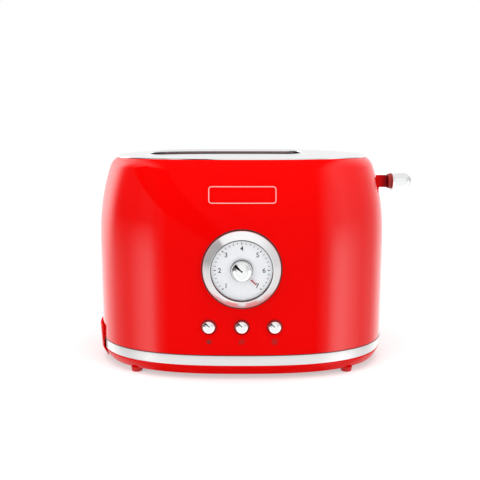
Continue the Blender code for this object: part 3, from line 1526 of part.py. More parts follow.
def build_control_board():
    """The board on its bracket, with the potentiometer behind the dial and a switch behind each button."""
    board = box(
        "control_board",
        (-BOARD_LENGTH / 2, BOARD_Y - BOARD_WALL / 2, BOARD_BOTTOM),
        (BOARD_LENGTH / 2, BOARD_Y + BOARD_WALL / 2, BOARD_TOP),
    )
    finish(board, material("circuit board", GREEN, SATIN))

    front = BRACKET_WEB_Y - PLATE_WALL
    rear = BRACKET_WEB_Y
    edge = BOARD_Y + BOARD_WALL / 2 + FIT
    reach = BRACKET_FLANGE_X
    outline = [
        (-reach, rear),
        (-reach, edge),
        (-reach + PLATE_WALL, edge),
        (-reach + PLATE_WALL, front),
        (reach - PLATE_WALL, front),
        (reach - PLATE_WALL, edge),
        (reach, edge),
        (reach, rear),
    ]
    height = BOARD_TOP - BOARD_BOTTOM
    bracket = flat_plate("board_bracket", [outline], height, (0, 0, (BOARD_TOP + BOARD_BOTTOM) / 2))
    finish(bracket, material("steel", STEEL, SATIN, 1.0))

    board_front = BOARD_DEPTH - BOARD_WALL / 2 - FIT
    bore = SHAFT_RADIUS + FIT
    shoulder = board_front - POT_DEPTH
    mouth = shoulder - POT_NECK_LENGTH
    profile = (
        (0.0, -SHAFT_DEPTH - FIT),
        (bore, -SHAFT_DEPTH - FIT),
        (bore, -mouth),
        (POT_NECK_RADIUS, -mouth),
        (POT_NECK_RADIUS, -shoulder),
        (POT_RADIUS, -shoulder),
        (POT_RADIUS, -board_front),
        (0.0, -board_front),
    )
    pot = turned("potentiometer", profile, (0, FRONT_Y, DIAL_HEIGHT), axis="-y", segments=SMALL_SEGMENTS)
    finish(pot, material("black moulding", BLACK, SATIN))

    half = SWITCH_SIZE / 2
    for name, x in BUTTONS:
        back_y = FRONT_Y + board_front
        switch_name = name.replace("button", "switch")
        switch = box(
            switch_name,
            (x - half, back_y - SWITCH_DEPTH, BUTTON_HEIGHT - half),
            (x + half, back_y, BUTTON_HEIGHT + half),
        )
        plunger = cylinder(
            switch_name + "_plunger",
            SWITCH_PLUNGER_RADIUS,
            (x, back_y - SWITCH_DEPTH + OVERLAP, BUTTON_HEIGHT),
            SWITCH_PLUNGER_LENGTH + OVERLAP,
            axis="-y",
            segments=SMALL_SEGMENTS,
            helper=True,
        )
        join(switch, plunger)
        finish(switch, material("black moulding", BLACK, SATIN))


def build_crumb_tray():
    """The shallow tray under the heaters, and the curved handle that closes its mouth in the left end."""
    low = FLOOR_TOP + FIT
    inset = handle_inside(low)
    half_share = (TRAY_WIDTH / 2) / (BODY_DEPTH / 2 - inset)
    left = FIT - (BODY_LENGTH / 2 - inset) * (1 - half_share**PLAN_POWER) ** (1 / PLAN_POWER)
    right = END_PLATE_RIGHT_X - TRAY_END_GAP
    half = TRAY_WIDTH / 2
    far_corner = (right, half, low + TRAY_DEPTH)
    tray = box("crumb_tray", (left, -half, low), far_corner, parent=TRAY_AXIS)
    hollow = box(
        "tray_hollow",
        (left + TRAY_WALL, -half + TRAY_WALL, low + TRAY_WALL),
        (right - TRAY_WALL, half - TRAY_WALL, low + TRAY_DEPTH + OVERRUN),
        helper=True,
    )
    cut(tray, hollow)
    finish(tray, material("steel", STEEL, SATIN, 1.0))

    outer = -FIT - HANDLE_THICKNESS
    profile = (
        (-FIT, BAND_LINE),
        (handle_inside(HANDLE_BOTTOM), HANDLE_BOTTOM),
        (handle_inside(HANDLE_BOTTOM) - HANDLE_FOOT_THICKNESS, HANDLE_BOTTOM),
        (-FIT - HANDLE_FOOT_THICKNESS, BAND_LINE),
        (outer, HANDLE_TOP - 2 * HANDLE_ROUND),
        (outer + HANDLE_ROUND, HANDLE_TOP),
        (-FIT, HANDLE_TOP),
    )
    spread = math.asin((HANDLE_WIDTH / BODY_DEPTH) ** (PLAN_POWER / 2))
    handle = plan_loft(
        "crumb_tray_handle",
        profile,
        start=math.pi - spread,
        end=math.pi + spread,
        steps=HANDLE_POINTS,
        parent=TRAY_AXIS,
    )
    finish(handle, material("red moulding", RED, GLOSS))


def build_cord_gland():
    """A bushing gripping the rear wall, with its inner collar clear of the wall's curve."""
    outer = FIT + GLAND_FLANGE
    grip = SHELL_WALL + front_sag(GLAND_X + GLAND_COLLAR_RADIUS) + GLAND_GRIP_CLEARANCE
    profile = (
        (GLAND_BORE_RADIUS, outer),
        (GLAND_RADIUS - GLAND_EDGE, outer),
        (GLAND_RADIUS, outer - GLAND_EDGE),
        (GLAND_RADIUS, FIT),
        (GLAND_NECK_RADIUS, FIT),
        (GLAND_NECK_RADIUS, -grip),
        (GLAND_COLLAR_RADIUS, -grip),
        (GLAND_COLLAR_RADIUS, -grip - GLAND_COLLAR),
        (GLAND_BORE_RADIUS, -grip - GLAND_COLLAR),
    )
    place = (GLAND_X, BODY_DEPTH / 2, GLAND_HEIGHT)
    gland = turned("cord_gland", profile, place, axis="+y", segments=BUTTON_SEGMENTS)
    finish(gland, material("black moulding", BLACK, SATIN))


def build_toaster():
    build_outer_shell()
    build_top_panel()
    build_base_moulding()
    build_trim_band()
    build_feet()
    build_screws()
    build_end_plate("end_plate_left", END_PLATE_LEFT_X, -1)
    build_end_plate("end_plate_right", END_PLATE_RIGHT_X, 1)
    build_reflector("reflector_front", -1)
    build_reflector("reflector_rear", 1)
    for where, y in (("front", -HEATER_OUTER_Y), ("middle", 0), ("rear", HEATER_OUTER_Y)):
        build_heater_board("heater_board_" + where, y)
        build_heater_ribbon("heater_ribbon_" + where, y)
    for side, where in zip(SLOT_SIDES, ("front", "rear")):
        centre = side * SLOT_CENTRE_Y
        build_guard(f"guard_{where}_outer", centre + side * GUARD_REACH)
        build_guard(f"guard_{where}_inner", centre - side * GUARD_REACH)
        build_rack("bread_rack_" + where, centre)
    build_carriage_bracket()
    build_guide_rod()
    build_return_spring()
    build_magnet()
    build_lever()
    build_dial()
    build_buttons()
    build_control_board()
    build_crumb_tray()
    build_cord_gland()


build_toaster()
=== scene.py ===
# %% [markdown]
# # A retro toaster, dressed for its photograph
#
# The measured model comes in as a frame of rigid pieces. Each visible piece then gets a fine surface
# worked out with numpy, and every surface gets a material built from nodes. The lesson goes from the
# camera and the light to the materials, and then from the largest piece to the smallest.

import bmesh
import bpy
import numpy as np
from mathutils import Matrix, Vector


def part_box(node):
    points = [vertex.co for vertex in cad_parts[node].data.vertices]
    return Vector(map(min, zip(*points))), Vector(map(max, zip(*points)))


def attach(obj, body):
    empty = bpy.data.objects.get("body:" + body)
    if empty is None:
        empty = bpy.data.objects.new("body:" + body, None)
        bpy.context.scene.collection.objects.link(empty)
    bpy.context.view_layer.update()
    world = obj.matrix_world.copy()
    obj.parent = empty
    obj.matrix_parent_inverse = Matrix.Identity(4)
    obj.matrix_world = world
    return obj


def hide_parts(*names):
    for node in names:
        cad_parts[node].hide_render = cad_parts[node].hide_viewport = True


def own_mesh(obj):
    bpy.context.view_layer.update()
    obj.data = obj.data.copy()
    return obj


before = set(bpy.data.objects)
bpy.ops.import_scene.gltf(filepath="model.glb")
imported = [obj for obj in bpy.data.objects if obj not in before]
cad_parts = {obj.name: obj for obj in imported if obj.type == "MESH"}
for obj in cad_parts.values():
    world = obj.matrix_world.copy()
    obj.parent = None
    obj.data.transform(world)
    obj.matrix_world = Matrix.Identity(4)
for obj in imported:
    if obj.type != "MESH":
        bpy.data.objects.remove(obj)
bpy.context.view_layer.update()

# %% [markdown]
# ## Sizes taken from the frame
#
# A piece that fits over another has to agree with it to a fraction of a millimetre. So the sizes are not
# typed a second time: the boxes of the solids give the body's length, depth and heights. Only what a box
# can't tell is named here, such as the power of the superellipse.

# %% Read the body's sizes
shell_low, shell_high = (np.array(corner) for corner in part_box("outer_shell"))
BODY_CENTRE = (shell_low + shell_high) / 2
BODY_LENGTH, BODY_DEPTH, _ = shell_high - shell_low
SHELL_BOTTOM, SHELL_TOP = shell_low[2], shell_high[2]
FRONT_Y = shell_low[1]
REAR_Y = shell_high[1]
CENTRE_X, CENTRE_Y = BODY_CENTRE[0], BODY_CENTRE[1]
PLAN_POWER = 2.6
GAP = 0.0003
print(f"body {BODY_LENGTH * 1000:.1f} by {BODY_DEPTH * 1000:.1f} mm, shell up to {SHELL_TOP * 1000:.1f} mm")

# %% [markdown]
# ## The camera
#
# The photograph looks at the front from a little above the body's top. Its horizon, worked out from how
# the straight seam and the curved band open up, lies well above the toaster. A lens of 52 mm at two
# thirds of a metre, tipped down by ten degrees, gives the same opening, with no shift.

# %% Place the camera
CAMERA_DISTANCE = 0.669
CAMERA_HEIGHT = 0.2248
CAMERA_SIDE = -0.0015
CAMERA_PITCH = np.radians(9.78)
CAMERA_LENS = 52.16

camera_data = bpy.data.cameras.new("photo_camera")
camera_data.lens = CAMERA_LENS
camera_data.sensor_width = 36.0
camera = bpy.data.objects.new("photo_camera", camera_data)
camera.location = (CENTRE_X + CAMERA_SIDE, CENTRE_Y - CAMERA_DISTANCE, CAMERA_HEIGHT)
camera.rotation_euler = (np.pi / 2 - CAMERA_PITCH, 0, 0)
bpy.context.scene.collection.objects.link(camera)
bpy.context.scene.camera = camera
bpy.context.scene.view_settings.view_transform = "Standard"
print("camera at", tuple(round(v, 3) for v in camera.location))

# %% [markdown]
# ## Node helpers
#
# A material is a small graph. Two helpers keep the graphs readable: one makes a fresh material with its
# main shader, the other adds a node, sets its sockets and joins what feeds it.

# %% Helpers for materials


def new_material(name):
    """A material with an empty graph, its output and one Principled shader joined to it."""
    made = bpy.data.materials.new(name)
    made.use_nodes = True
    tree = made.node_tree
    tree.nodes.clear()
    output = tree.nodes.new("ShaderNodeOutputMaterial")
    shader = tree.nodes.new("ShaderNodeBsdfPrincipled")
    tree.links.new(shader.outputs["BSDF"], output.inputs["Surface"])
    return made, tree, shader


def add_node(tree, kind, settings=None, **sockets):
    """A node of a kind, with its settings, and each socket given a value or joined to an output."""
    node = tree.nodes.new("ShaderNode" + kind)
    for name, value in (settings or {}).items():
        setattr(node, name, value)
    for name, value in sockets.items():
        socket = node.inputs[int(name[1:])] if name[0] == "_" else node.inputs[name.replace("_", " ")]
        if isinstance(value, bpy.types.NodeSocket):
            tree.links.new(value, socket)
        else:
            socket.default_value = value
    return node


def set_shader(shader, **values):
    """Sets plain values on the shader's own sockets; an underscore in a name stands for a space."""
    for name, value in values.items():
        shader.inputs[name.replace("_", " ")].default_value = value


def object_noise(tree, scale, detail=2.0, stretch=(1, 1, 1)):
    """Noise on object coordinates, stretched by a mapping."""
    place = add_node(tree, "TexCoord").outputs["Object"]
    mapped = add_node(tree, "Mapping", Vector=place, Scale=stretch).outputs["Vector"]
    return add_node(tree, "TexNoise", Vector=mapped, Scale=scale, Detail=detail).outputs["Fac"]


def add_bump(tree, shader, height, strength, distance):
    """Joins a height to the shader's normal."""
    bump = add_node(tree, "Bump", Height=height, Strength=strength, Distance=distance)
    tree.links.new(bump.outputs["Normal"], shader.inputs["Normal"])


def blend_colour(tree, factor, low, high):
    """A colour that runs from one to another as the factor goes from 0 to 1."""
    ramp = add_node(tree, "ValToRGB", Fac=factor)
    ramp.color_ramp.elements[0].color = (*low, 1)
    ramp.color_ramp.elements[1].color = (*high, 1)
    return ramp.outputs["Color"]


def spread(tree, factor, low, high):
    """A number that runs from one to another as the factor goes from 0 to 1."""
    return add_node(tree, "MapRange", Value=factor, To_Min=low, To_Max=high).outputs["Result"]


# %% [markdown]
# ## Red lacquer
#
# The body is pressed steel with a thick glossy paint. Sprayed lacquer is never quite flat: it keeps a
# long, faint orange peel, which bends each reflection a little. A clear coat over a slightly rougher red
# base gives the sharp highlight on top of a deep colour, and soft noise gives the peel.

# %% Make the red finishes


def red_lacquer(name, colour, peel, shine=1.0):
    made, tree, shader = new_material(name)
    clouds = object_noise(tree, 9.0)
    deep = tuple(channel * 0.93 for channel in colour)
    tree.links.new(blend_colour(tree, clouds, deep, colour), shader.inputs["Base Color"])
    set_shader(shader, Roughness=0.35, Specular_IOR_Level=0.0, Coat_Roughness=0.05, Coat_IOR=1.5)
    normal = add_node(tree, "SeparateXYZ", Vector=add_node(tree, "TexCoord").outputs["Normal"])
    side = add_node(tree, "Math", {"operation": "ABSOLUTE"}, _0=normal.outputs["X"]).outputs["Value"]
    gloss = add_node(
        tree, "MapRange", {"interpolation_type": "SMOOTHSTEP"}, Value=side,
        From_Min=0.22, From_Max=0.34, To_Min=0.06, To_Max=shine
    )
    tree.links.new(gloss.outputs["Result"], shader.inputs["Coat Weight"])
    add_bump(tree, shader, object_noise(tree, 260.0, 1.0), peel, 0.0004)
    return made


RED = (0.93, 0.0012, 0.0010)
lacquer = red_lacquer("red lacquer", RED, 0.02)
red_moulding = red_lacquer("red moulding", RED, 0.05, 0.35)
print("red finishes:", lacquer.name, "and", red_moulding.name)


def satin_moulding(name, colour, roughness, grain=900.0):
    """A moulded plastic: one colour, faint cloudiness, and a fine spark-eroded grain."""
    made, tree, shader = new_material(name)
    clouds = object_noise(tree, 30.0)
    lighter = tuple(min(1.0, channel * 1.15 + 0.002) for channel in colour)
    tree.links.new(blend_colour(tree, clouds, colour, lighter), shader.inputs["Base Color"])
    tree.links.new(spread(tree, clouds, roughness * 0.9, roughness * 1.1), shader.inputs["Roughness"])
    set_shader(shader, Specular_IOR_Level=0.5)
    add_bump(tree, shader, object_noise(tree, grain, 1.0), 0.08, 0.0002)
    return made


dark_red = satin_moulding("dark red moulding", (0.33, 0.003, 0.003), 0.25)
red_rubber = satin_moulding("red rubber", (0.62, 0.006, 0.006), 0.55)
black_moulding = satin_moulding("black moulding", (0.018, 0.018, 0.018), 0.4)
board_green = satin_moulding("board green", (0.012, 0.10, 0.035), 0.3)

# %% [markdown]
# ## Chrome and steel
#
# Polished chrome is nearly a mirror: what it looks like is what stands round it. A trace of roughness that
# varies keeps it from looking computed. Sheet steel carries the lines of the rolling mill, so its
# roughness and its bump use noise that is stretched a hundred times along the sheet.

# %% Make the metals


def chrome_plate(name, tint=(0.93, 0.935, 0.94), roughness=0.04, metal=1.0):
    made, tree, shader = new_material(name)
    haze = object_noise(tree, 60.0, 3.0)
    tree.links.new(spread(tree, haze, roughness * 0.7, roughness * 1.4), shader.inputs["Roughness"])
    set_shader(shader, Base_Color=(*tint, 1), Metallic=metal)
    return made


def sheet_metal(name, colour, roughness, stretch=(2, 150, 150), scale=12.0):
    made, tree, shader = new_material(name)
    lines = object_noise(tree, scale, 4.0, stretch)
    darker = tuple(channel * 0.86 for channel in colour)
    tree.links.new(blend_colour(tree, lines, darker, colour), shader.inputs["Base Color"])
    tree.links.new(spread(tree, lines, roughness * 0.8, roughness * 1.2), shader.inputs["Roughness"])
    set_shader(shader, Metallic=1.0)
    add_bump(tree, shader, lines, 0.05, 0.0002)
    return made


chrome = chrome_plate("chrome")
satin_chrome = chrome_plate("satin chrome", (0.84, 0.845, 0.845), 0.30, 0.35)
ring_chrome = chrome_plate("brushed ring", (0.92, 0.925, 0.93), 0.14, 0.65)
# A darker, pinkish chrome for the slots' inner walls: painted shade.
slot_wall_chrome_painted_shade = chrome_plate("chrome with painted shade", (0.42, 0.31, 0.32), 0.15)
steel = sheet_metal("mill steel", (0.60, 0.60, 0.59), 0.32)
bright_steel = sheet_metal("bright steel", (0.74, 0.74, 0.73), 0.22)
dark_iron = sheet_metal("laminated iron", (0.16, 0.16, 0.17), 0.4, (1, 1, 60), 40.0)
heater_wire = sheet_metal("heater wire", (0.23, 0.22, 0.21), 0.45)
copper = sheet_metal("enamelled copper", (0.62, 0.24, 0.10), 0.25, (1, 1, 90), 30.0)
print("metals: chrome, four steels and copper")

# %% [markdown]
# ## Mica, the dial's silver, the window and the print
#
# Mica sheet is flaky and mottled. The dial's face is a silver paint over fine turned lines, so its bump
# runs in rings about the dial's centre. The window is clear, and the print is a flat ink.

# %% Make the last finishes


def mica_sheet(name):
    made, tree, shader = new_material(name)
    flakes = object_noise(tree, 45.0, 6.0, (1, 1, 2))
    mottled = blend_colour(tree, flakes, (0.36, 0.30, 0.22), (0.62, 0.56, 0.46))
    tree.links.new(mottled, shader.inputs["Base Color"])
    tree.links.new(spread(tree, flakes, 0.35, 0.7), shader.inputs["Roughness"])
    add_bump(tree, shader, flakes, 0.3, 0.0003)
    return made


def silver_paint(name, centre):
    """Silver-white paint with fine spokes of turned metal, which follow the angle about the centre."""
    made, tree, shader = new_material(name)
    place = add_node(tree, "TexCoord").outputs["Object"]
    moved = add_node(tree, "Mapping", Vector=place, Location=[-value for value in centre]).outputs["Vector"]
    split = add_node(tree, "SeparateXYZ", Vector=moved)
    angle = add_node(tree, "Math", {"operation": "ARCTAN2"}, _0=split.outputs["X"], _1=split.outputs["Z"])
    turn = angle.outputs["Value"]
    spokes = add_node(tree, "TexNoise", {"noise_dimensions": "1D"}, W=turn, Scale=26.0, Detail=4.0)
    painted = blend_colour(tree, spokes.outputs["Fac"], (0.66, 0.67, 0.70), (0.82, 0.83, 0.85))
    tree.links.new(painted, shader.inputs["Base Color"])
    set_shader(shader, Metallic=0.35, Roughness=0.35)
    return made


def flat_ink(name, colour):
    made, tree, shader = new_material(name)
    specks = object_noise(tree, 700.0)
    fainter = tuple(channel * 0.8 + 0.01 for channel in colour)
    tree.links.new(blend_colour(tree, specks, fainter, colour), shader.inputs["Base Color"])
    set_shader(shader, Roughness=0.45)
    return made


def red_with_painted_shade(name, dark_x):
    """Red with painted shade: it darkens along x towards the joint, where the arm lies in shade."""
    made, tree, shader = new_material(name)
    place = add_node(tree, "SeparateXYZ", Vector=add_node(tree, "TexCoord").outputs["Object"])
    share = add_node(tree, "MapRange", Value=place.outputs["X"], From_Min=dark_x - 0.012, From_Max=dark_x)
    colour = blend_colour(tree, share.outputs["Result"], (0.80, 0.001, 0.002), (0.10, 0.0005, 0.004))
    tree.links.new(colour, shader.inputs["Base Color"])
    set_shader(shader, Roughness=0.35, Specular_IOR_Level=0.08)
    return made


def clear_window(name):
    made, tree, shader = new_material(name)
    set_shader(shader, Base_Color=(1, 1, 1, 1), Roughness=0.0, IOR=1.12, Transmission_Weight=1.0)
    return made


ring_low, ring_high = (np.array(corner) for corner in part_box("knob_ring"))
DIAL = np.array([(ring_low[0] + ring_high[0]) / 2, FRONT_Y, (ring_low[2] + ring_high[2]) / 2])
mica = mica_sheet("mica")
silver = silver_paint("silver face", DIAL)
ink = flat_ink("dark ink", (0.006, 0.005, 0.006))
label_ink = flat_ink("dark red ink", (0.12, 0.001, 0.001))
pale_line = flat_ink("pale pink line", (0.95, 0.55, 0.53))
window_glass = clear_window("window")
lever_arm_painted_shade_red = red_with_painted_shade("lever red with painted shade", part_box("lever_collar")[0][0])
# Dark red for painted shadow in the gaps above the band and round the dial.
painted_shadow_red = flat_ink("dark red painted shadow", (0.07, 0.001, 0.002))
# Dark grey for painted shade round the dial's ring and cap.
painted_shade_grey = flat_ink("dark grey painted shade", (0.05, 0.05, 0.055))
print(f"dial centre at height {DIAL[2] * 1000:.1f} mm")

# %% [markdown]
# ## Surfaces from grids
#
# Every new piece starts as a table of points: rows along one direction and columns along another. The
# whole table is worked out at once, without a loop over its points. Neighbours in the table become
# four-sided faces, and points that meet, as at a pole or where a ring closes, are welded.

# %% Turn a grid into a piece


def grid_faces(rows, columns):
    """The four corner numbers of each cell of a table with that many rows and columns."""
    start = (np.arange(rows - 1)[:, None] * columns + np.arange(columns - 1)).reshape(-1, 1)
    return start + np.array([0, 1, columns + 1, columns])


def close_ring(grid):
    """The same table with its first column repeated at the end, so that a ring closes."""
    return np.concatenate([grid, grid[:, :1]], axis=1)


def weld_and_turn(mesh, sharp_angle, capped, flat):
    """Welds points that meet, closes flat ends if asked, turns faces outward and marks sharp edges.

    A flat print has no inside, so its faces are turned to the front instead."""
    bm = bmesh.new()
    bm.from_mesh(mesh)
    bmesh.ops.remove_doubles(bm, verts=bm.verts, dist=2e-6)
    bmesh.ops.dissolve_degenerate(bm, edges=bm.edges, dist=1e-6)
    if capped:
        bmesh.ops.holes_fill(bm, edges=bm.edges, sides=0)
    if flat:
        bm.normal_update()
        bmesh.ops.reverse_faces(bm, faces=[face for face in bm.faces if face.normal.y > 0])
    else:
        bmesh.ops.recalc_face_normals(bm, faces=bm.faces)
    bm.to_mesh(mesh)
    bm.free()
    mesh.shade_smooth()
    mesh.set_sharp_from_angle(angle=np.radians(sharp_angle))


def add_piece(name, points, faces, look, sharp_angle=30.0, capped=False, flat=False):
    """A piece at the origin from points and faces, with its material."""
    mesh = bpy.data.meshes.new(name)
    mesh.from_pydata(points.reshape(-1, 3).tolist(), [], faces.tolist())
    weld_and_turn(mesh, sharp_angle, capped, flat)
    mesh.materials.append(look)
    piece = bpy.data.objects.new(name, mesh)
    bpy.context.scene.collection.objects.link(piece)
    return piece


def seat(piece, body, *nodes):
    """Lets a piece ride on a body, and hides the solids it stands for."""
    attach(piece, body)
    if nodes:
        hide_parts(*nodes)
    return piece


def merged(name, tables, look, sharp_angle=30.0, capped=False, flat=False):
    """Several tables of points as one piece; each table's faces are counted on from the last."""
    points = np.concatenate([table.reshape(-1, 3) for table in tables])
    starts = np.cumsum([0] + [table.shape[0] * table.shape[1] for table in tables])
    faces = np.concatenate([grid_faces(*t.shape[:2]) + s for t, s in zip(tables, starts)])
    return add_piece(name, points, faces, look, sharp_angle, capped, flat)


print("a 4 by 3 table has", len(grid_faces(4, 3)), "faces")

# %% [markdown]
# ## Profiles: rounded corners and turned pieces
#
# Hardly any edge on a real product is sharp. A profile is therefore given as corners with a radius each,
# and a small function replaces each corner by an arc. A turned piece, such as a knob, carries its profile
# round an axis.

# %% Round a profile and turn it


def rounded(corners, radii, steps=6):
    """A profile whose corners are replaced by arcs: each arc touches both sides at its radius's reach."""
    corners = np.asarray(corners, float)
    radii = np.broadcast_to(radii, len(corners))
    points = [corners[0]]
    for before, corner, after, radius in zip(corners[:-2], corners[1:-1], corners[2:], radii[1:-1]):
        back, ahead = before - corner, after - corner
        back_length, ahead_length = np.linalg.norm(back), np.linalg.norm(ahead)
        back, ahead = back / back_length, ahead / ahead_length
        half = np.arccos(np.clip(back @ ahead, -1, 1)) / 2
        reach = min(radius / np.tan(half), 0.49 * back_length, 0.49 * ahead_length)
        true_radius = reach * np.tan(half)
        middle = corner + (back + ahead) / np.linalg.norm(back + ahead) * true_radius / np.sin(half)
        start, end = corner + back * reach - middle, corner + ahead * reach - middle
        share = np.linspace(0, 1, steps + 1)[:, None]
        sweep = np.pi - 2 * half
        arc = (np.sin((1 - share) * sweep) * start + np.sin(share * sweep) * end) / np.sin(sweep)
        points.extend(middle + arc)
    points.append(corners[-1])
    return np.array(points)


AXES = {
    "-y": np.array([[1, 0, 0], [0, 0, 1], [0, -1, 0]], float),
    "+y": np.array([[-1, 0, 0], [0, 0, 1], [0, 1, 0]], float),
    "+x": np.array([[0, 1, 0], [0, 0, 1], [1, 0, 0]], float),
    "+z": np.array([[1, 0, 0], [0, 1, 0], [0, 0, 1]], float),
}


def turned_grid(profile, centre, axis, segments=96):
    """Points of a (radius, height) profile turned about an axis: radius times cosine and sine, and height."""
    profile = np.asarray(profile)
    angle = np.linspace(0, 2 * np.pi, segments + 1)
    radius, height = profile[:, :1], profile[:, 1:]
    local = np.stack([radius * np.cos(angle), radius * np.sin(angle), height + 0 * angle], axis=-1)
    return local @ AXES[axis] + np.asarray(centre)


def turned(name, profile, centre, axis, look, segments=96, sharp_angle=30.0):
    """A turned piece from a (radius, height) profile."""
    return merged(name, [turned_grid(profile, centre, axis, segments)], look, sharp_angle)


print("an arc of a rounded corner has", len(rounded([(0, 0), (1, 0), (1, 1)], 0.2)), "points")

# %% [markdown]
# ## The body's plan and its side
#
# Seen from above the body is a superellipse: |x/a| to a power plus |y/b| to the same power is one. With a
# power of 2 this is an ellipse, and with a large power nearly a rectangle. The side is straight up to the
# waist, leans in above it and rolls over a round shoulder, so the plan shrinks by an inset that depends
# on the height.

# %% Write the plan and the side as functions
WAIST = 0.110
SHOULDER = 0.183
LEAN = 0.0108
LEAN_POWER = 2.3
SHOULDER_RADIUS = 0.016
LEAN_END_ANGLE = np.arctan(LEAN * LEAN_POWER / (SHOULDER - WAIST))


def even_angles(count, start=0.0, end=2 * np.pi, inset=0.0):
    """Angles at which the plan's points lie at equal steps along its outline."""
    fine = np.linspace(start, end, 8001)
    outline = plan(fine, inset)
    steps = np.linalg.norm(np.diff(outline, axis=0), axis=1)
    length = np.concatenate([[0], np.cumsum(steps)])
    return np.interp(np.linspace(0, length[-1], count), length, fine)


def plan(angle, inset=0.0):
    """x and y on the superellipse: each half size, less the inset, times a signed power of cosine or sine."""
    cosine, sine = np.cos(angle), np.sin(angle)
    x = (BODY_LENGTH / 2 - inset) * np.sign(cosine) * np.abs(cosine) ** (2 / PLAN_POWER)
    y = (BODY_DEPTH / 2 - inset) * np.sign(sine) * np.abs(sine) ** (2 / PLAN_POWER)
    return np.stack([x + CENTRE_X, y + CENTRE_Y], axis=-1)


def side_inset(height):
    """The side's inset: zero, then a power of the height above the waist, then the arc of the shoulder."""
    lean = LEAN * (np.clip((height - WAIST) / (SHOULDER - WAIST), 0, 1)) ** LEAN_POWER
    rise = np.clip((height - SHOULDER) / SHOULDER_RADIUS, 0, None)
    sine = np.clip(np.sin(LEAN_END_ANGLE) + rise, 0, 1)
    return lean + SHOULDER_RADIUS * (np.cos(LEAN_END_ANGLE) - np.sqrt(1 - sine**2))


def side_of_plan(along, inset, half_along, half_across):
    """How far the plan reaches across at a place along it: the superellipse solved for the other axis."""
    share = np.clip(np.abs(along) / (half_along - inset), 0, 1)
    return (half_across - inset) * (1 - share**PLAN_POWER) ** (1 / PLAN_POWER)


def front_face(x, z):
    """y on the front of the body at x and z."""
    return CENTRE_Y - side_of_plan(x - CENTRE_X, side_inset(z), BODY_LENGTH / 2, BODY_DEPTH / 2)


SEAM_INSET = float(side_inset(SHELL_TOP))
print(f"the side leans in by {SEAM_INSET * 1000:.1f} mm up to the seam")

# %% [markdown]
# ## Holes in a fine surface
#
# The glossy shell has holes for the dial, the buttons, the lever and the cord. Cutting them with a Boolean
# leaves long thin faces, and a mirror-like paint shows each of them as a dent. So the holes are made in
# the table itself: points close to a hole's edge are moved onto the edge, and the cells inside are left
# out. A cell that the edge crosses from corner to corner is split along it.

# %% Punch holes by moving points onto their edges


def capsule(flat, centre, half, radius):
    """Distance to a rounded box's edge, below zero inside, and the nearest point of that edge."""
    core = centre + np.clip(flat - centre, -np.asarray(half), half)
    away = flat - core
    length = np.linalg.norm(away, axis=-1)
    direction = away / np.maximum(length, 1e-9)[:, None]
    return length - radius, core + direction * radius


def punch(flat, faces, region, reach):
    """Moves points within reach of a region's edge onto it, and keeps the faces outside it."""
    distance, edge = region(flat)
    near = np.abs(distance) < reach
    flat = np.where(near[:, None], edge, flat)
    side = np.where(near, 0, np.sign(distance)).astype(int)
    corners = side[faces]
    crossed = (corners.max(axis=1) > 0) & (corners.min(axis=1) < 0)
    middle, _ = region(flat[faces].mean(axis=1))
    kept = faces[~crossed & (corners.min(axis=1) >= 0) & (middle > 0)]
    split = faces[crossed]
    turn = np.where(side[split][:, [0, 2]].any(axis=1), 1, 0)
    first = np.array([[0, 1, 2, 2], [1, 2, 3, 3]])[turn]
    second = np.array([[2, 3, 0, 0], [3, 0, 1, 1]])[turn]
    halves = np.concatenate([np.take_along_axis(split, first, 1), np.take_along_axis(split, second, 1)])
    halves = halves[side[halves].min(axis=1) >= 0]
    return flat, np.concatenate([kept, halves])


def graded(stops, steps):
    """Values along a line in stretches, each with its own step."""
    stretches = [
        np.linspace(low, high, max(2, int(round((high - low) / step)) + 1))[:-1]
        for low, high, step in zip(stops[:-1], stops[1:], steps)
    ]
    return np.concatenate([*stretches, [stops[-1]]])


def face_lists(faces):
    """Faces as lists: a corner named twice in a row is named once, and a face needs three corners."""
    lists = [[c for i, c in enumerate(face) if c != face[i - 1]] for face in faces.tolist()]
    return [face for face in lists if len(face) > 2]


print(len(graded([0, 1, 2], [0.1, 0.5])), "values in two stretches")

# %% [markdown]
# ## The shell
#
# The shell is one drawn steel wall. Its table runs round the plan and up the side, and it is denser near
# the buttons and the lever's slot, where the holes need more points. After the holes are punched each
# point goes back onto the wall, so the reflections run past a hole undisturbed. The wall then gets its
# thickness inward, and a small bevel takes the sharpness off the edges.

# %% Make the shell
BUTTON_NODES = ("defrost_button", "reheat_button", "cancel_button")
button_boxes = [np.array(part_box(node)) for node in BUTTON_NODES]
BUTTON_X = [box[:, 0].mean() for box in button_boxes]
BUTTON_Z = button_boxes[0][:, 2].mean()
BUTTON_HOLE_RADIUS = 0.00695
DIAL_HOLE_RADIUS = 0.0251
SHELL_WALL = 0.0018
LEVER_SLOT_HALF = 0.0047
SLOT_CORNER = 0.0012
LEVER_TRAVEL = 0.080
LEVER_MARGIN = 0.0026
arm_box = np.array(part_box("lever_arm"))
LEVER_SLOT = (arm_box[0][2] - LEVER_TRAVEL - LEVER_MARGIN, arm_box[1][2] + LEVER_MARGIN)
gland_box = np.array(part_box("cord_gland"))
GLAND = np.array([gland_box[:, 0].mean(), REAR_Y, gland_box[:, 2].mean()])


def plan_columns():
    """Angles round the plan: a step of 0.9 mm near the buttons and the lever's slot, 2.6 mm elsewhere."""
    fine = np.linspace(-0.5 * np.pi, 1.5 * np.pi, 40001)
    outline = plan(fine)
    lengths = np.linalg.norm(np.diff(outline, axis=0), axis=1)
    middle = (outline[1:] + outline[:-1]) / 2 - (CENTRE_X, CENTRE_Y)
    by_buttons = (np.abs(middle[:, 0]) < 0.040) & (middle[:, 1] < 0)
    by_lever = (np.abs(middle[:, 1]) < 0.009) & (middle[:, 0] > 0)
    step = np.where(by_buttons | by_lever, 0.0009, 0.0026)
    count = np.concatenate([[0], np.cumsum(lengths / step)])
    return np.interp(np.linspace(0, count[-1], int(count[-1]) + 1), count, fine)


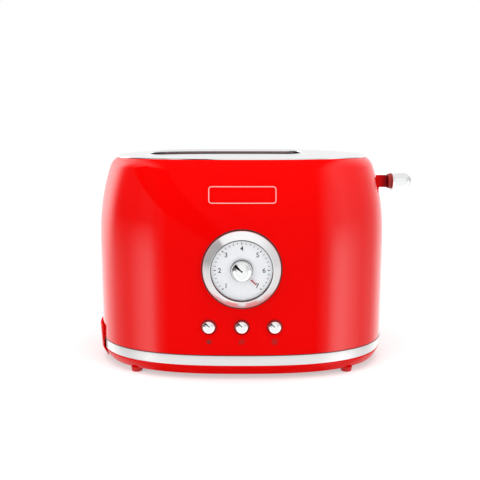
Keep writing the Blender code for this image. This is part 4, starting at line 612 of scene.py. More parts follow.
def wall_point(flat, side, z):
    """Puts points back on the wall: flat is x on the front and rear, and y on the right end."""
    inset = side_inset(z)
    if side == "right":
        across = side_of_plan(flat - CENTRE_Y, inset, BODY_DEPTH / 2, BODY_LENGTH / 2)
        return np.stack([CENTRE_X + across, flat, z], axis=-1)
    across = side_of_plan(flat - CENTRE_X, inset, BODY_LENGTH / 2, BODY_DEPTH / 2)
    return np.stack([flat, CENTRE_Y + (across if side == "rear" else -across), z], axis=-1)


def punch_wall(points, faces, side, centre, half, radius, reach=0.0007):
    """Punches a rounded hole in one side of the shell."""
    along = 1 if side == "right" else 0
    facing = {
        "front": points[:, 1] < CENTRE_Y,
        "rear": points[:, 1] > CENTRE_Y,
        "right": points[:, 0] > CENTRE_X + BODY_LENGTH / 4,
    }[side]
    flat = points[:, [along, 2]].copy()
    flat[~facing] += 10.0
    moved, faces = punch(flat, faces, lambda place: capsule(place, np.array(centre), half, radius), reach)
    changed = facing & (np.abs(moved - flat).max(axis=1) > 0)
    points = points.copy()
    points[changed] = wall_point(moved[changed, 0], side, moved[changed, 1])
    return points, faces


def thickened(piece, wall, bevel=0.0, sharp_angle=30.0):
    """Gives an open surface a wall inward, and a small bevel on its edges, as finished mesh."""
    solid = piece.modifiers.new("wall", "SOLIDIFY")
    solid.thickness = wall
    solid.offset = -1.0
    if bevel:
        edge = piece.modifiers.new("edge", "BEVEL")
        edge.width = bevel
        edge.segments = 2
        edge.limit_method = "ANGLE"
        edge.angle_limit = np.radians(50)
    bpy.context.view_layer.update()
    graph = bpy.context.evaluated_depsgraph_get()
    finished = bpy.data.meshes.new_from_object(piece.evaluated_get(graph))
    piece.modifiers.clear()
    piece.data = finished
    finished.shade_smooth()
    finished.set_sharp_from_angle(angle=np.radians(sharp_angle))
    return piece


def sheet_piece(name, points, faces, look):
    """A piece from points and ready faces of three or four corners, left open at its edges."""
    mesh = bpy.data.meshes.new(name)
    mesh.from_pydata(points.tolist(), [], face_lists(faces))
    bm = bmesh.new()
    bm.from_mesh(mesh)
    bmesh.ops.remove_doubles(bm, verts=bm.verts, dist=2e-6)
    bmesh.ops.dissolve_degenerate(bm, edges=bm.edges, dist=2e-6)
    loose = [vert for vert in bm.verts if not vert.link_faces]
    bmesh.ops.delete(bm, geom=loose, context="VERTS")
    bm.to_mesh(mesh)
    bm.free()
    mesh.materials.append(look)
    piece = bpy.data.objects.new(name, mesh)
    bpy.context.scene.collection.objects.link(piece)
    return piece


columns = plan_columns()
row_stops = [SHELL_BOTTOM, 0.040, 0.058, 0.070, 0.076, WAIST, 0.172, SHOULDER, SHELL_TOP]
rows = graded(row_stops, [0.0024, 0.0009, 0.0028, 0.0009, 0.0028, 0.0021, 0.0009, 0.0007])
shell_grid = np.empty((len(rows), len(columns), 3))
cosine_part = plan(columns) - (CENTRE_X, CENTRE_Y)
insets = side_inset(rows)[:, None]
shell_grid[..., 0] = CENTRE_X + cosine_part[:, 0] * (1 - insets / (BODY_LENGTH / 2))
shell_grid[..., 1] = CENTRE_Y + cosine_part[:, 1] * (1 - insets / (BODY_DEPTH / 2))
shell_grid[..., 2] = rows[:, None]
shell_points = shell_grid.reshape(-1, 3)
shell_faces = grid_faces(len(rows), len(columns))
for x in BUTTON_X:
    shell_points, shell_faces = punch_wall(
        shell_points, shell_faces, "front", (x, BUTTON_Z), (0, 0), BUTTON_HOLE_RADIUS
    )
shell_points, shell_faces = punch_wall(
    shell_points, shell_faces, "front", (DIAL[0], DIAL[2]), (0, 0), DIAL_HOLE_RADIUS, 0.0016
)
slot_middle = (CENTRE_Y, sum(LEVER_SLOT) / 2)
slot_half = (LEVER_SLOT_HALF - SLOT_CORNER, (LEVER_SLOT[1] - LEVER_SLOT[0]) / 2 - SLOT_CORNER)
shell_points, shell_faces = punch_wall(
    shell_points, shell_faces, "right", slot_middle, slot_half, SLOT_CORNER, 0.0011
)
shell_points, shell_faces = punch_wall(
    shell_points, shell_faces, "rear", (GLAND[0], GLAND[2]), (0, 0), 0.0056, 0.0014
)
shell = thickened(sheet_piece("shell_skin", shell_points, shell_faces, lacquer), SHELL_WALL, 0.0003)
seat(shell, "housing", "outer_shell")
print("shell:", len(shell.data.polygons), "faces")

# %% [markdown]
# ## The chrome top
#
# The top is a shallow dome pressed from one sheet: it falls away along the body and across it, down to a
# rounded edge on the seam. Two long slots are punched in it, and each has a rolled lip, a bead outside and
# a wall turned down inside, so that bread slides past no raw edge. The dome is a square table bent to the
# crown's height. The edge and the lips are profiles carried round the plan and round a slot.

# %% Make the top panel
PANEL_SEAT = SHELL_TOP + GAP
DECK = PANEL_SEAT + 0.0009
CROWN_RISE = 0.0044
REVEAL = 0.0002
EDGE_ROUND = 0.0014
SLOT_LENGTH, SLOT_WIDTH = 0.1393, 0.0302
SLOT_CENTRE_X = CENTRE_X - 0.0144
SLOT_OFFSET_Y = 0.0259
LIP_DEPTH = 0.010


def crown(x, y):
    """The dome: its rise falls with a power of the place along, and runs out flat into the deck across."""
    along = np.clip(np.abs(x - CENTRE_X) / (BODY_LENGTH / 2 - SEAM_INSET), 0, 1)
    half_width = (BODY_DEPTH / 2 - SEAM_INSET) * np.maximum(1 - along**PLAN_POWER, 1e-6) ** (1 / PLAN_POWER)
    across = np.clip(np.abs(y - CENTRE_Y) / half_width, 0, 1)
    return DECK + CROWN_RISE * (1 - along**4.5) * (1 - across**2) ** 2


def plan_region(flat, inset):
    """Distance inside the plan's outline, below zero outside it, and the point of the outline beyond."""
    away = flat - (CENTRE_X, CENTRE_Y)
    half = np.array([BODY_LENGTH / 2 - inset, BODY_DEPTH / 2 - inset])
    size = np.sum(np.abs(away / half) ** PLAN_POWER, axis=-1) ** (1 / PLAN_POWER)
    edge = away / np.maximum(size, 1e-9)[:, None]
    return np.linalg.norm(edge, axis=-1) - np.linalg.norm(away, axis=-1), edge + (CENTRE_X, CENTRE_Y)


def stadium(count):
    """Places round a slot: the middle line's point and the way outward, at equal steps of a round end."""
    turn = np.linspace(0, np.pi, count)
    end_angles = np.concatenate([turn - np.pi / 2, turn + np.pi / 2])
    straight = SLOT_LENGTH / 2 - SLOT_WIDTH / 2
    centre = np.repeat([straight, -straight], count)
    outward = np.stack([np.cos(end_angles), np.sin(end_angles)], axis=-1)
    side_share = np.linspace(0, 1, 40)[1:-1]
    top = np.stack([straight - 2 * straight * side_share, np.zeros(38)], axis=-1)
    up = np.tile([0.0, 1.0], (38, 1))
    ends = np.stack([centre, np.zeros(2 * count)], axis=-1)
    cores = np.concatenate([ends[:count], top, ends[count:], -top])
    ways = np.concatenate([outward[:count], up, outward[count:], -up])
    return cores, ways


def carried(profile, cores, ways, centre_y):
    """A lip's table: each (offset, rise) of the profile set outward from the slot's line, over the dome."""
    offset, rise = np.asarray(profile).T
    reach = SLOT_WIDTH / 2 + offset[:, None, None]
    flat = cores + ways * reach + (SLOT_CENTRE_X, centre_y)
    height = crown(flat[..., 0], flat[..., 1]) + rise[:, None]
    return close_ring(np.concatenate([flat, height[..., None]], axis=-1))


step = 0.0016
deck_x = np.arange(CENTRE_X - BODY_LENGTH / 2, CENTRE_X + BODY_LENGTH / 2 + step, step)
deck_y = np.arange(CENTRE_Y - BODY_DEPTH / 2, CENTRE_Y + BODY_DEPTH / 2 + step, step)
deck_flat = np.stack(np.meshgrid(deck_x, deck_y, indexing="ij"), axis=-1).reshape(-1, 2)
deck_faces = grid_faces(len(deck_x), len(deck_y))[:, ::-1]
edge_inset = SEAM_INSET + REVEAL + EDGE_ROUND
reach = step * 0.55
deck_flat, deck_faces = punch(deck_flat, deck_faces, lambda place: plan_region(place, edge_inset), reach)
for centre_y in (CENTRE_Y - SLOT_OFFSET_Y, CENTRE_Y + SLOT_OFFSET_Y):
    centre = np.array([SLOT_CENTRE_X, centre_y])
    half = (SLOT_LENGTH / 2 - SLOT_WIDTH / 2, 0)
    deck_flat, deck_faces = punch(
        deck_flat, deck_faces, lambda place: capsule(place, centre, half, SLOT_WIDTH / 2 + 0.0022), reach
    )
deck_points = np.column_stack([deck_flat, crown(deck_flat[:, 0], deck_flat[:, 1])])
deck = thickened(sheet_piece("top_deck", deck_points, deck_faces, chrome), 0.0012)
seat(deck, "housing", "top_panel")

rim_angles = even_angles(500)
rim_rows = rounded(
    [(EDGE_ROUND, 0.0), (0.0, 0.0), (0.0, PANEL_SEAT - DECK)], EDGE_ROUND * 0.5, 8
)
rim_rows = np.concatenate([rim_rows, [(0.003, PANEL_SEAT - DECK)]])
rim_grid = np.empty((len(rim_rows), len(rim_angles), 3))
for row, (inward, rise) in zip(rim_grid, rim_rows):
    row[:, :2] = plan(rim_angles, SEAM_INSET + REVEAL + inward)
    row[:, 2] = crown(row[:, 0], row[:, 1]) + rise
seam_rim = merged("top_rim", [rim_grid], chrome, 60.0)
seat(seam_rim, "housing")

cores, ways = stadium(24)
lip_corners = [(0.0, -LIP_DEPTH), (0.0, 0.0005), (0.0025, 0.0005), (0.0039, 0.0), (0.0039, -0.0006)]
lip_profile = rounded(lip_corners, [0, 0.0011, 0.0012, 0.0005, 0], 6)
lip_under = [(0.0011, -0.0006), (0.0011, -LIP_DEPTH), (0.0, -LIP_DEPTH)]
lip_profile = np.concatenate([lip_profile[1:], lip_under])
wall_profile = [(0.0, -LIP_DEPTH), tuple(lip_profile[0])]
for where, side in (("front", -1), ("rear", 1)):
    lip_grid = carried(lip_profile, cores, ways, CENTRE_Y + side * SLOT_OFFSET_Y)
    lip = merged("slot_lip_" + where, [lip_grid], chrome, 50.0)
    seat(lip, "housing")
    # The walls inside the slots take the darker chrome: painted shade down in the slots.
    wall_grid = carried(wall_profile, cores, ways, CENTRE_Y + side * SLOT_OFFSET_Y)
    seat(merged("slot_wall_" + where, [wall_grid], slot_wall_chrome_painted_shade, 50.0), "housing")
print("top panel:", len(deck.data.polygons), "faces in the dome")

# %% [markdown]
# ## Base, trim band and tray handle
#
# Below the shell a moulded base tapers inward to the feet, and a bright band covers the joint between the
# two. At the left end the band stops at the handle of the crumb tray, a curved plate that follows the
# same plan. All three are profiles of inset and height carried round the plan, all the way or partway.

# %% Make the base, the band and the handle
base_low, base_high = (np.array(corner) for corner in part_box("base_moulding"))
band_low, band_high = (np.array(corner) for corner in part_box("trim_band"))
handle_low, handle_high = (np.array(corner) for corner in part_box("crumb_tray_handle"))
BASE_BOTTOM = base_low[2]
BAND_BOTTOM, BAND_TOP = band_low[2], band_high[2]
BASE_TOP = BAND_BOTTOM - GAP
BASE_INSET = 0.0050
FLOOR_TOP = BASE_BOTTOM + 0.0025
BAND_PROUD = BODY_DEPTH / 2 - (CENTRE_Y - band_low[1])


def carried_round(profile, angles):
    """A table of an (inset, height) profile at each angle of the plan."""
    grid = np.empty((len(profile), len(angles), 3))
    for row, (inset, height) in zip(grid, profile):
        row[:, :2] = plan(angles, inset)
        row[:, 2] = height
    return grid


wall_inset = SHELL_WALL + GAP
base_profile = rounded(
    [
        (0.012, BASE_BOTTOM),
        (BASE_INSET, BASE_BOTTOM),
        (0.0004, BASE_TOP),
        (wall_inset, BASE_TOP),
        (wall_inset, base_high[2]),
        (wall_inset + 0.0022, base_high[2]),
        (wall_inset + 0.0022, FLOOR_TOP),
        (0.012, FLOOR_TOP),
    ],
    [0, 0.0011, 0.0005, 0.0002, 0.0004, 0.0004, 0.0008, 0],
    5,
)
base_angles = even_angles(440)
base_grid = carried_round(base_profile, base_angles)
FLOOR_INSET = 0.012
floor_step = 0.0016
VENT_LENGTH, VENT_WIDTH, VENT_PITCH, VENT_COUNT = 0.0352, 0.0035, 0.00776, 5
VENT_CENTRE_X = CENTRE_X + 0.0950

floor_x = np.arange(CENTRE_X - BODY_LENGTH / 2, CENTRE_X + BODY_LENGTH / 2 + floor_step, floor_step)
floor_y = np.arange(CENTRE_Y - BODY_DEPTH / 2, CENTRE_Y + BODY_DEPTH / 2 + floor_step, floor_step)
floor_flat = np.stack(np.meshgrid(floor_x, floor_y, indexing="ij"), axis=-1).reshape(-1, 2)
floor_faces = grid_faces(len(floor_x), len(floor_y))[:, ::-1]
floor_flat, floor_faces = punch(
    floor_flat, floor_faces, lambda place: plan_region(place, FLOOR_INSET), floor_step * 0.55
)
vents = [
    (VENT_CENTRE_X + (i - (VENT_COUNT - 1) / 2) * VENT_PITCH, CENTRE_Y + side)
    for side in (-VENT_LENGTH / 2 - VENT_WIDTH, VENT_LENGTH / 2 + VENT_WIDTH)
    for i in range(VENT_COUNT)
]
for vent in vents:
    half = (0, VENT_LENGTH / 2 - VENT_WIDTH / 2)
    floor_flat, floor_faces = punch(
        floor_flat, floor_faces, lambda place: capsule(place, np.array(vent), half, VENT_WIDTH / 2), 0.0009
    )
floor_points = np.column_stack([floor_flat, np.full(len(floor_flat), FLOOR_TOP)])
floor_sheet = sheet_piece("base_floor", floor_points, floor_faces, red_moulding)
floor_plate = thickened(floor_sheet, FLOOR_TOP - BASE_BOTTOM)
seat(floor_plate, "housing", "base_moulding")
base = merged("base_skin", [base_grid], red_moulding, 40.0)
seat(base, "housing")

HANDLE_WIDTH = 0.0760
band_gap_share = (HANDLE_WIDTH / 2 + GAP) / (BODY_DEPTH / 2)
band_gap = np.arcsin(band_gap_share ** (PLAN_POWER / 2))
band_profile = rounded(
    [
        (wall_inset - GAP, BAND_BOTTOM),
        (-BAND_PROUD, BAND_BOTTOM),
        (-BAND_PROUD, BAND_TOP),
        (wall_inset - GAP, BAND_TOP),
        (wall_inset - GAP, BAND_BOTTOM),
    ],
    [0, 0.0009, 0.0009, 0.0002, 0],
    6,
)
band_angles = even_angles(420, band_gap - np.pi, np.pi - band_gap)
band = merged("band_skin", [carried_round(band_profile, band_angles)], satin_chrome, 40.0, capped=True)
seat(band, "housing", "trim_band")

handle_foot = BASE_INSET + (0.0004 - BASE_INSET) * (handle_low[2] - BASE_BOTTOM) / (BASE_TOP - BASE_BOTTOM)
HANDLE_THICKNESS, HANDLE_FOOT = 0.0022, 0.0012
handle_profile = rounded(
    [
        (-GAP, BAND_BOTTOM),
        (-GAP, handle_high[2]),
        (-GAP - HANDLE_THICKNESS, handle_high[2]),
        (-GAP - HANDLE_THICKNESS, handle_high[2] - 0.002),
        (-GAP - HANDLE_FOOT, BAND_BOTTOM),
        (handle_foot - 2 * GAP - HANDLE_FOOT, handle_low[2]),
        (handle_foot - 2 * GAP, handle_low[2]),
        (-GAP, BAND_BOTTOM),
    ],
    [0, 0.0003, 0.0008, 0.0009, 0.0030, 0.0004, 0.0003, 0],
    6,
)
spread_angle = np.arcsin((HANDLE_WIDTH / BODY_DEPTH) ** (PLAN_POWER / 2))
handle_angles = even_angles(90, np.pi - spread_angle, np.pi + spread_angle)
handle_grid = carried_round(handle_profile, handle_angles)
handle = merged("tray_handle_skin", [handle_grid], red_moulding, 40.0, capped=True)
seat(handle, "crumb_tray", "crumb_tray_handle")

# A dark red strip under the shell's lower edge: painted shadow in the seam above the band.
seam_shadow_profile = [(0.0006, BAND_TOP), (-0.00015, BAND_TOP + 0.0001), (-0.00015, SHELL_BOTTOM + 0.0005)]
seam_shadow_profile.append((0.0006, SHELL_BOTTOM + 0.0005))
seam_shadow_strip = merged("shell_seam_painted_shadow", [carried_round(seam_shadow_profile, band_angles)], painted_shadow_red, 40.0)
seat(seam_shadow_strip, "housing")
print("band stands", round(BAND_PROUD * 1000, 2), "mm proud")

# %% [markdown]
# ## Feet and gland
#
# Turned pieces, each a rounded profile. The feet are soft red buttons under the base, and the gland is the
# black bush that the supply cord passes through.

# %% Make the feet and the gland
for node in ("foot_front_left", "foot_front_right", "foot_rear_left", "foot_rear_right"):
    low, high = (np.array(corner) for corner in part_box(node))
    radius = (high[0] - low[0]) / 2
    foot_profile = rounded(
        [(0, BASE_BOTTOM), (radius, BASE_BOTTOM), (radius - 0.0005, 0.0), (0, 0.0)], [0, 0.0003, 0.0012, 0], 6
    )
    foot_centre = ((low[0] + high[0]) / 2, (low[1] + high[1]) / 2, 0)
    foot = turned(node + "_skin", foot_profile, foot_centre, "+z", red_rubber, 48)
    seat(foot, "housing", node)

gland_in, gland_out = gland_box[:, 1] - REAR_Y
gland_profile = rounded(
    [
        (0.0034, gland_in),
        (0.0034, gland_out),
        (0.0072, gland_out),
        (0.0072, GAP),
        (0.0050, GAP),
        (0.0050, gland_in),
        (0.0034, gland_in),
    ],
    [0, 0.0006, 0.0008, 0.0002, 0.0002, 0.0002, 0],
    6,
)
gland = turned("gland_skin", gland_profile, GLAND, "+y", black_moulding, 64)
seat(gland, "housing", "cord_gland")

# %% [markdown]
# ## The dial
#
# A flat silver face carries ticks and numbers behind a window. The chrome ring round it is the grip: it
# turns with the window, the cap and the needle. Its broad bevel is what catches the light in the
# photograph, so its profile keeps the true slope, with small rounds at its edges.

# %% Make the ring, the face, the cap and the needle
ring_proud = FRONT_Y - ring_low[1]
ring_radius = (ring_high[0] - ring_low[0]) / 2
window_low, window_high = (np.array(corner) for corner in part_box("knob_window"))
window_radius = (window_high[0] - window_low[0]) / 2
OPENING = window_radius - 0.0005
ring_profile = rounded(
    [
        (OPENING, ring_proud - 0.0008),
        (OPENING, ring_proud),
        (OPENING + 0.0010, ring_proud),
        (ring_radius - 0.0004, GAP + 0.0016),
        (ring_radius, GAP + 0.0010),
        (ring_radius, GAP),
        (window_radius + GAP, GAP),
        (window_radius + GAP, ring_proud - 0.0008),
        (OPENING, ring_proud - 0.0008),
    ],
    [0, 0.0002, 0.0006, 0.0003, 0.0004, 0.0002, 0.0002, 0.0002, 0],
    6,
)
ring = turned("ring_skin", ring_profile, DIAL, "-y", ring_chrome, 160, 40.0)
seat(ring, "browning_knob", "knob_ring")


def painted_shade_ring(name, inner, outer, height, look, body):
    """A thin dark ring of painted shade about the dial's axis, with its front at a height over the body's front."""
    profile = [(outer, height - 0.0003), (outer, height), (inner, height), (inner, height - 0.0003)]
    profile.append((outer, height - 0.0003))
    seat(turned(name, profile[::-1], DIAL, "-y", look, 128), body)


# A dark ring at the ring's opening, over the face's edge: painted shade.
painted_shade_ring("ring_edge_painted_shade", OPENING - 0.0001, OPENING + 0.0006, ring_proud + 0.00008, painted_shade_grey, "browning_knob")

cap_low, cap_high = (np.array(corner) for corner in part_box("knob_cap"))
cap_proud, cap_foot = FRONT_Y - cap_low[1], FRONT_Y - cap_high[1]
cap_radius = (cap_high[0] - cap_low[0]) / 2
arc = np.linspace(0, np.pi / 2, 22)
cap_edge = cap_foot + 0.0012
cap_profile = np.stack([cap_radius * np.sin(arc), cap_edge + (cap_proud - cap_edge) * np.cos(arc)], axis=-1)
cap_profile = np.concatenate([cap_profile, [(cap_radius, cap_foot), (0, cap_foot)]])
cap = turned("cap_skin", cap_profile, DIAL, "-y", chrome, 96)
seat(cap, "browning_knob", "knob_cap")

face_low, _ = (np.array(corner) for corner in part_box("dial_face"))
face_front = FRONT_Y - face_low[1]
face_back = face_front - 0.0016
face_profile = [
    (0.0036, face_front),
    (OPENING, face_front),
    (OPENING, face_back),
    (0.0245, face_back),
    (0.0245, -0.0037),
    (0.0300, -0.0037),
    (0.0300, -0.0051),
    (0.0230, -0.0051),
    (0.0230, face_back),
    (0.0036, face_back),
    (0.0036, face_front),
]
face = turned("face_skin", face_profile, DIAL, "-y", silver, 128)
seat(face, "housing", "dial_face")
print(f"ring of radius {ring_radius * 1000:.1f} mm stands {ring_proud * 1000:.1f} mm proud")

# %% [markdown]
# ## Ticks and numbers
#
# The scale runs over three quarters of a turn, from 1 at lower left through 4 at the top to 7 at lower right.
# Thirty steps part its ends, and every fifth tick is heavier. Each tick is a thin flat bar, and each number is real
# type turned into a mesh, so the print stays sharp from any distance.

# %% Print the scale
PRINT_LIFT = 0.00006
TICK_RADIUS = 0.0231
NUMBER_RADIUS = 0.0188
SCALE_SPAN = np.radians(270)


def dial_place(radius, clock, lift):
    """x, y and z of a place on the dial at a clockwise angle from the top."""
    return np.array([DIAL[0] + radius * np.sin(clock), face_low[1] - lift, DIAL[2] + radius * np.cos(clock)])


def bar_grid(clock, inner, outer, width):
    """A flat tick: rows run outward along its radius, columns across it."""
    radius = np.linspace(inner, outer, 2)[:, None]
    across = np.linspace(-width / 2, width / 2, 2)[None, :]
    x = DIAL[0] + radius * np.sin(clock) + across * np.cos(clock)
    z = DIAL[2] + radius * np.cos(clock) - across * np.sin(clock)
    return np.stack([x, np.full(x.shape, face_low[1] - PRINT_LIFT), z], axis=-1)


tick_tables = []
for i in range(31):
    clock = -SCALE_SPAN / 2 + SCALE_SPAN * i / 30
    length, width = (0.0018, 0.00075) if i % 5 == 0 else (0.0015, 0.00045)
    tick_tables.append(bar_grid(clock, TICK_RADIUS + 0.0006 - length, TICK_RADIUS + 0.0006, width))
ticks = merged("scale_ticks", tick_tables, ink, flat=True)
seat(ticks, "housing")


def flat_text(name, words, size, bold, x, y, z, look):
    """Words as a mesh that stands upright and faces the front, centred on a place."""
    curve = bpy.data.curves.new(name, "FONT")
    curve.body = words
    curve.size = size
    curve.align_x = "CENTER"
    curve.align_y = "CENTER"
    curve.resolution_u = 6
    curve.offset = bold
    holder = bpy.data.objects.new(name + "_curve", curve)
    bpy.context.scene.collection.objects.link(holder)
    bpy.context.view_layer.update()
    mesh = bpy.data.meshes.new_from_object(holder.evaluated_get(bpy.context.evaluated_depsgraph_get()))
    bpy.data.objects.remove(holder, do_unlink=True)
    flat = np.empty(len(mesh.vertices) * 3)
    mesh.vertices.foreach_get("co", flat)
    flat = flat.reshape(-1, 3)
    flat[:, 1] -= (flat[:, 1].max() + flat[:, 1].min()) / 2
    flat[:, 0] -= (flat[:, 0].max() + flat[:, 0].min()) / 2
    stood = np.stack([flat[:, 0] + x, np.full(len(flat), y), flat[:, 1] + z], axis=-1)
    mesh.vertices.foreach_set("co", stood.ravel())
    mesh.materials.clear()
    mesh.materials.append(look)
    piece = bpy.data.objects.new(name, mesh)
    bpy.context.scene.collection.objects.link(piece)
    return piece


for i in range(7):
    clock = -SCALE_SPAN / 2 + SCALE_SPAN * i / 6
    place = dial_place(NUMBER_RADIUS, clock, PRINT_LIFT)
    number = flat_text(f"scale_number_{i + 1}", str(i + 1), 0.0058, 0.00008, *place, ink)
    seat(number, "housing")
print("ticks and seven numbers printed")

# %% [markdown]
# ## Window and needle
#
# The window is a clear disc that turns with the ring. The needle is printed metal on its underside: a
# short pointer that starts outside the cap and narrows towards the numbers. It rests on 7.

# %% Make the window and the needle
window_front, window_back = FRONT_Y - window_low[1], FRONT_Y - window_high[1]
window_profile = rounded(
    [(0, window_front), (window_radius, window_front), (window_radius, window_back), (0, window_back)],
    0.0002,
    4,
)
window = turned("window_skin", window_profile, DIAL, "-y", window_glass, 96)
seat(window, "browning_knob", "knob_window")
# A dark ring round the cap's foot: painted shadow on the window.
painted_shade_ring("cap_shade", cap_radius - 0.0002, cap_radius + 0.0004, window_front + 0.0002, painted_shade_grey, "browning_knob")

needle_low, needle_high = (np.array(corner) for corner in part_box("knob_needle"))
NEEDLE_CLOCK = np.radians(135)
share = np.linspace(0, 1, 9)
needle_radius = 0.0111 + 0.0070 * share
needle_half = 0.00055 * (1 - share) ** 0.5 + 0.00010
across = np.array([1, 1, -1, -1, 1])[:, None] * needle_half
depth = np.array([needle_low[1], needle_high[1], needle_high[1], needle_low[1], needle_low[1]])[:, None]
needle_x = DIAL[0] + needle_radius * np.sin(NEEDLE_CLOCK) + across * np.cos(NEEDLE_CLOCK)
needle_z = DIAL[2] + needle_radius * np.cos(NEEDLE_CLOCK) - across * np.sin(NEEDLE_CLOCK)
needle_red = flat_ink("needle red", (0.42, 0.004, 0.006))
needle_grid = np.stack([needle_x, depth + 0 * needle_x, needle_z], axis=-1)
needle = merged("needle_skin", [needle_grid], needle_red)
seat(needle, "browning_knob", "knob_needle")
print("needle", round(needle_radius[-1] * 1000, 1), "mm from the centre")

# %% [markdown]
# ## Push buttons
#
# Three low chrome domes sit in dark red recesses. Behind the dome each has a flange that stops it in its
# guide, and a stem that reaches its switch, so the dome can't fall out and the press has a real end.

# %% Make the buttons and their recesses
for node, box in zip(BUTTON_NODES, button_boxes):
    centre = (box[:, 0].mean(), FRONT_Y, box[:, 2].mean())
    proud = FRONT_Y - box[0][1]
    stem_end = FRONT_Y - box[1][1]
    arc = np.linspace(0, np.pi / 2, 16)
    dome = np.stack([0.0056 * np.sin(arc), 0.0005 + (proud - 0.0005) * np.cos(arc)], axis=-1)
    back = [(0.0056, -0.0050), (0.0068, -0.0050), (0.0068, -0.0060), (0.0018, -0.0060), (0.0018, stem_end)]
    back.append((0, stem_end))
    button = turned(node + "_skin", np.concatenate([dome, back]), centre, "-y", chrome, 64)
    seat(button, node, node)
    collar_profile = rounded(
        [(0.0060, -0.0045), (0.0060, -0.0010), (0.00668, -0.0010), (0.00668, -0.0045), (0.0060, -0.0045)],
        [0, 0.0003, 0.0003, 0.0002, 0],
        4,
    )
    collar = turned(node + "_recess", collar_profile, centre, "-y", dark_red, 64)
    seat(collar, "housing")
print("buttons at x =", [round(x * 1000, 1) for x in BUTTON_X])

# %% [markdown]
# ## Signs on the front
#
# Each button has a small sign below it, in general signs that need no words: a snowflake, rising heat and
# a cross. A sign is a set of strokes. A stroke is a ribbon: a path on the body's front with its two edges
# set off square to the path, lifted by less than a tenth of a millimetre.

# %% Draw strokes on the body
SIGN_LIFT = 0.00006


def stroke(path, width):
    """A ribbon along a path of (x, z): its edges lie half a width to either side, on the body's front."""
    path = np.asarray(path, float)
    along = np.gradient(path, axis=0)
    along /= np.linalg.norm(along, axis=1)[:, None]
    square = np.stack([-along[:, 1], along[:, 0]], axis=-1)
    edges = path[None] + np.array([-0.5, 0.5])[:, None, None] * width * square
    y = front_face(edges[..., 0], edges[..., 1]) - SIGN_LIFT
    return np.stack([edges[..., 0], y, edges[..., 1]], axis=-1)


def line(start, end, count=5):
    return np.linspace(start, end, count)


SIGN_Z = 0.0356
SIGN_SIZE = 0.0023
SIGN_LINE = 0.00058


def snowflake(x, z):
    """Three crossed lines, each with a pair of short branches near both ends."""
    strokes = []
    for angle in np.radians([90, 30, 150]):
        way = np.array([np.cos(angle), np.sin(angle)])
        strokes.append(line((x, z) - way * SIGN_SIZE, (x, z) + way * SIGN_SIZE))
        for end in (-1, 1):
            root = (x, z) + way * SIGN_SIZE * 0.55 * end
            for lean in (-0.7, 0.7):
                branch = np.array([np.cos(angle + lean), np.sin(angle + lean)]) * SIGN_SIZE * 0.42 * end
                strokes.append(line(root, root + branch, 3))
    return strokes


def rising_heat(x, z):
    """Three upright waves side by side."""
    height = np.linspace(-SIGN_SIZE, SIGN_SIZE, 17)
    sway = 0.00045 * np.sin(height / SIGN_SIZE * np.pi)
    return [np.stack([x + shift + sway, z + height], axis=-1) for shift in (-0.0017, 0.0, 0.0017)]


def cross_sign(x, z):
    """A ring with a cross in it."""
    turn = np.linspace(0, 2 * np.pi, 41)
    ring_path = np.stack([x + SIGN_SIZE * np.cos(turn), z + SIGN_SIZE * np.sin(turn)], axis=-1)
    reach = SIGN_SIZE * 0.42
    rising = line((x - reach, z - reach), (x + reach, z + reach))
    falling = line((x - reach, z + reach), (x + reach, z - reach))
    return [ring_path, rising, falling]


for name, maker, x in zip(("snowflake", "heat", "cross"), (snowflake, rising_heat, cross_sign), BUTTON_X):
    strokes = [stroke(path, SIGN_LINE) for path in maker(x, SIGN_Z)]
    sign = merged("sign_" + name, strokes, label_ink, flat=True)
    seat(sign, "housing")
print("three signs at height", SIGN_Z)

# A dark red ring round the dial's ring, on the body's front: painted shadow in the gap between ring and body.
turn = np.linspace(0, 2 * np.pi, 161)[:, None]
dial_shadow_path = DIAL[[0, 2]] + (ring_radius + 0.0006) * np.concatenate([np.cos(turn), np.sin(turn)], axis=1)
dial_shadow_strip = merged("dial_painted_shadow", [stroke(dial_shadow_path, 0.0015)], painted_shadow_red, flat=True)
seat(dial_shadow_strip, "housing")

# %% [markdown]
# ## The plate's frame
#
# Above the dial the front carries a thin frame with rounded corners, in a pale line on the lacquer. The
# place inside it stays bare. It is one stroke whose path is a rounded rectangle.

# %% Draw the bare plate's frame
PLATE_CENTRE = (CENTRE_X + 0.0005, 0.1627)
PLATE_HALF = (0.0283, 0.0068)
PLATE_CORNER = 0.0022
PLATE_LINE = 0.0007


def rounded_rectangle(centre, half, corner, steps=10):
    """The outline of a rounded rectangle: four quarter circles, joined by the straight sides."""
    turn = np.linspace(0, np.pi / 2, steps)
    quarters = []
    for i, signs in enumerate(((1, 1), (-1, 1), (-1, -1), (1, -1))):
        angle = turn + i * np.pi / 2
        core = np.array(centre) + np.array(signs) * (np.array(half) - corner)
        quarters.append(core + corner * np.stack([np.cos(angle), np.sin(angle)], axis=-1))
    share = np.linspace(0, 1, 16)[1:-1, None]
    parts = []
    for quarter, following in zip(quarters, quarters[1:] + quarters[:1]):
        parts += [quarter, quarter[-1] + (following[0] - quarter[-1]) * share]
    path = np.concatenate(parts)
    return np.concatenate([path, path[:2]])


plate_path = rounded_rectangle(PLATE_CENTRE, PLATE_HALF, PLATE_CORNER)
plate_frame = merged("plate_frame", [stroke(plate_path, PLATE_LINE)], pale_line, flat=True)
seat(plate_frame, "housing")
print("frame of the bare plate:", len(plate_path), "places along its path")
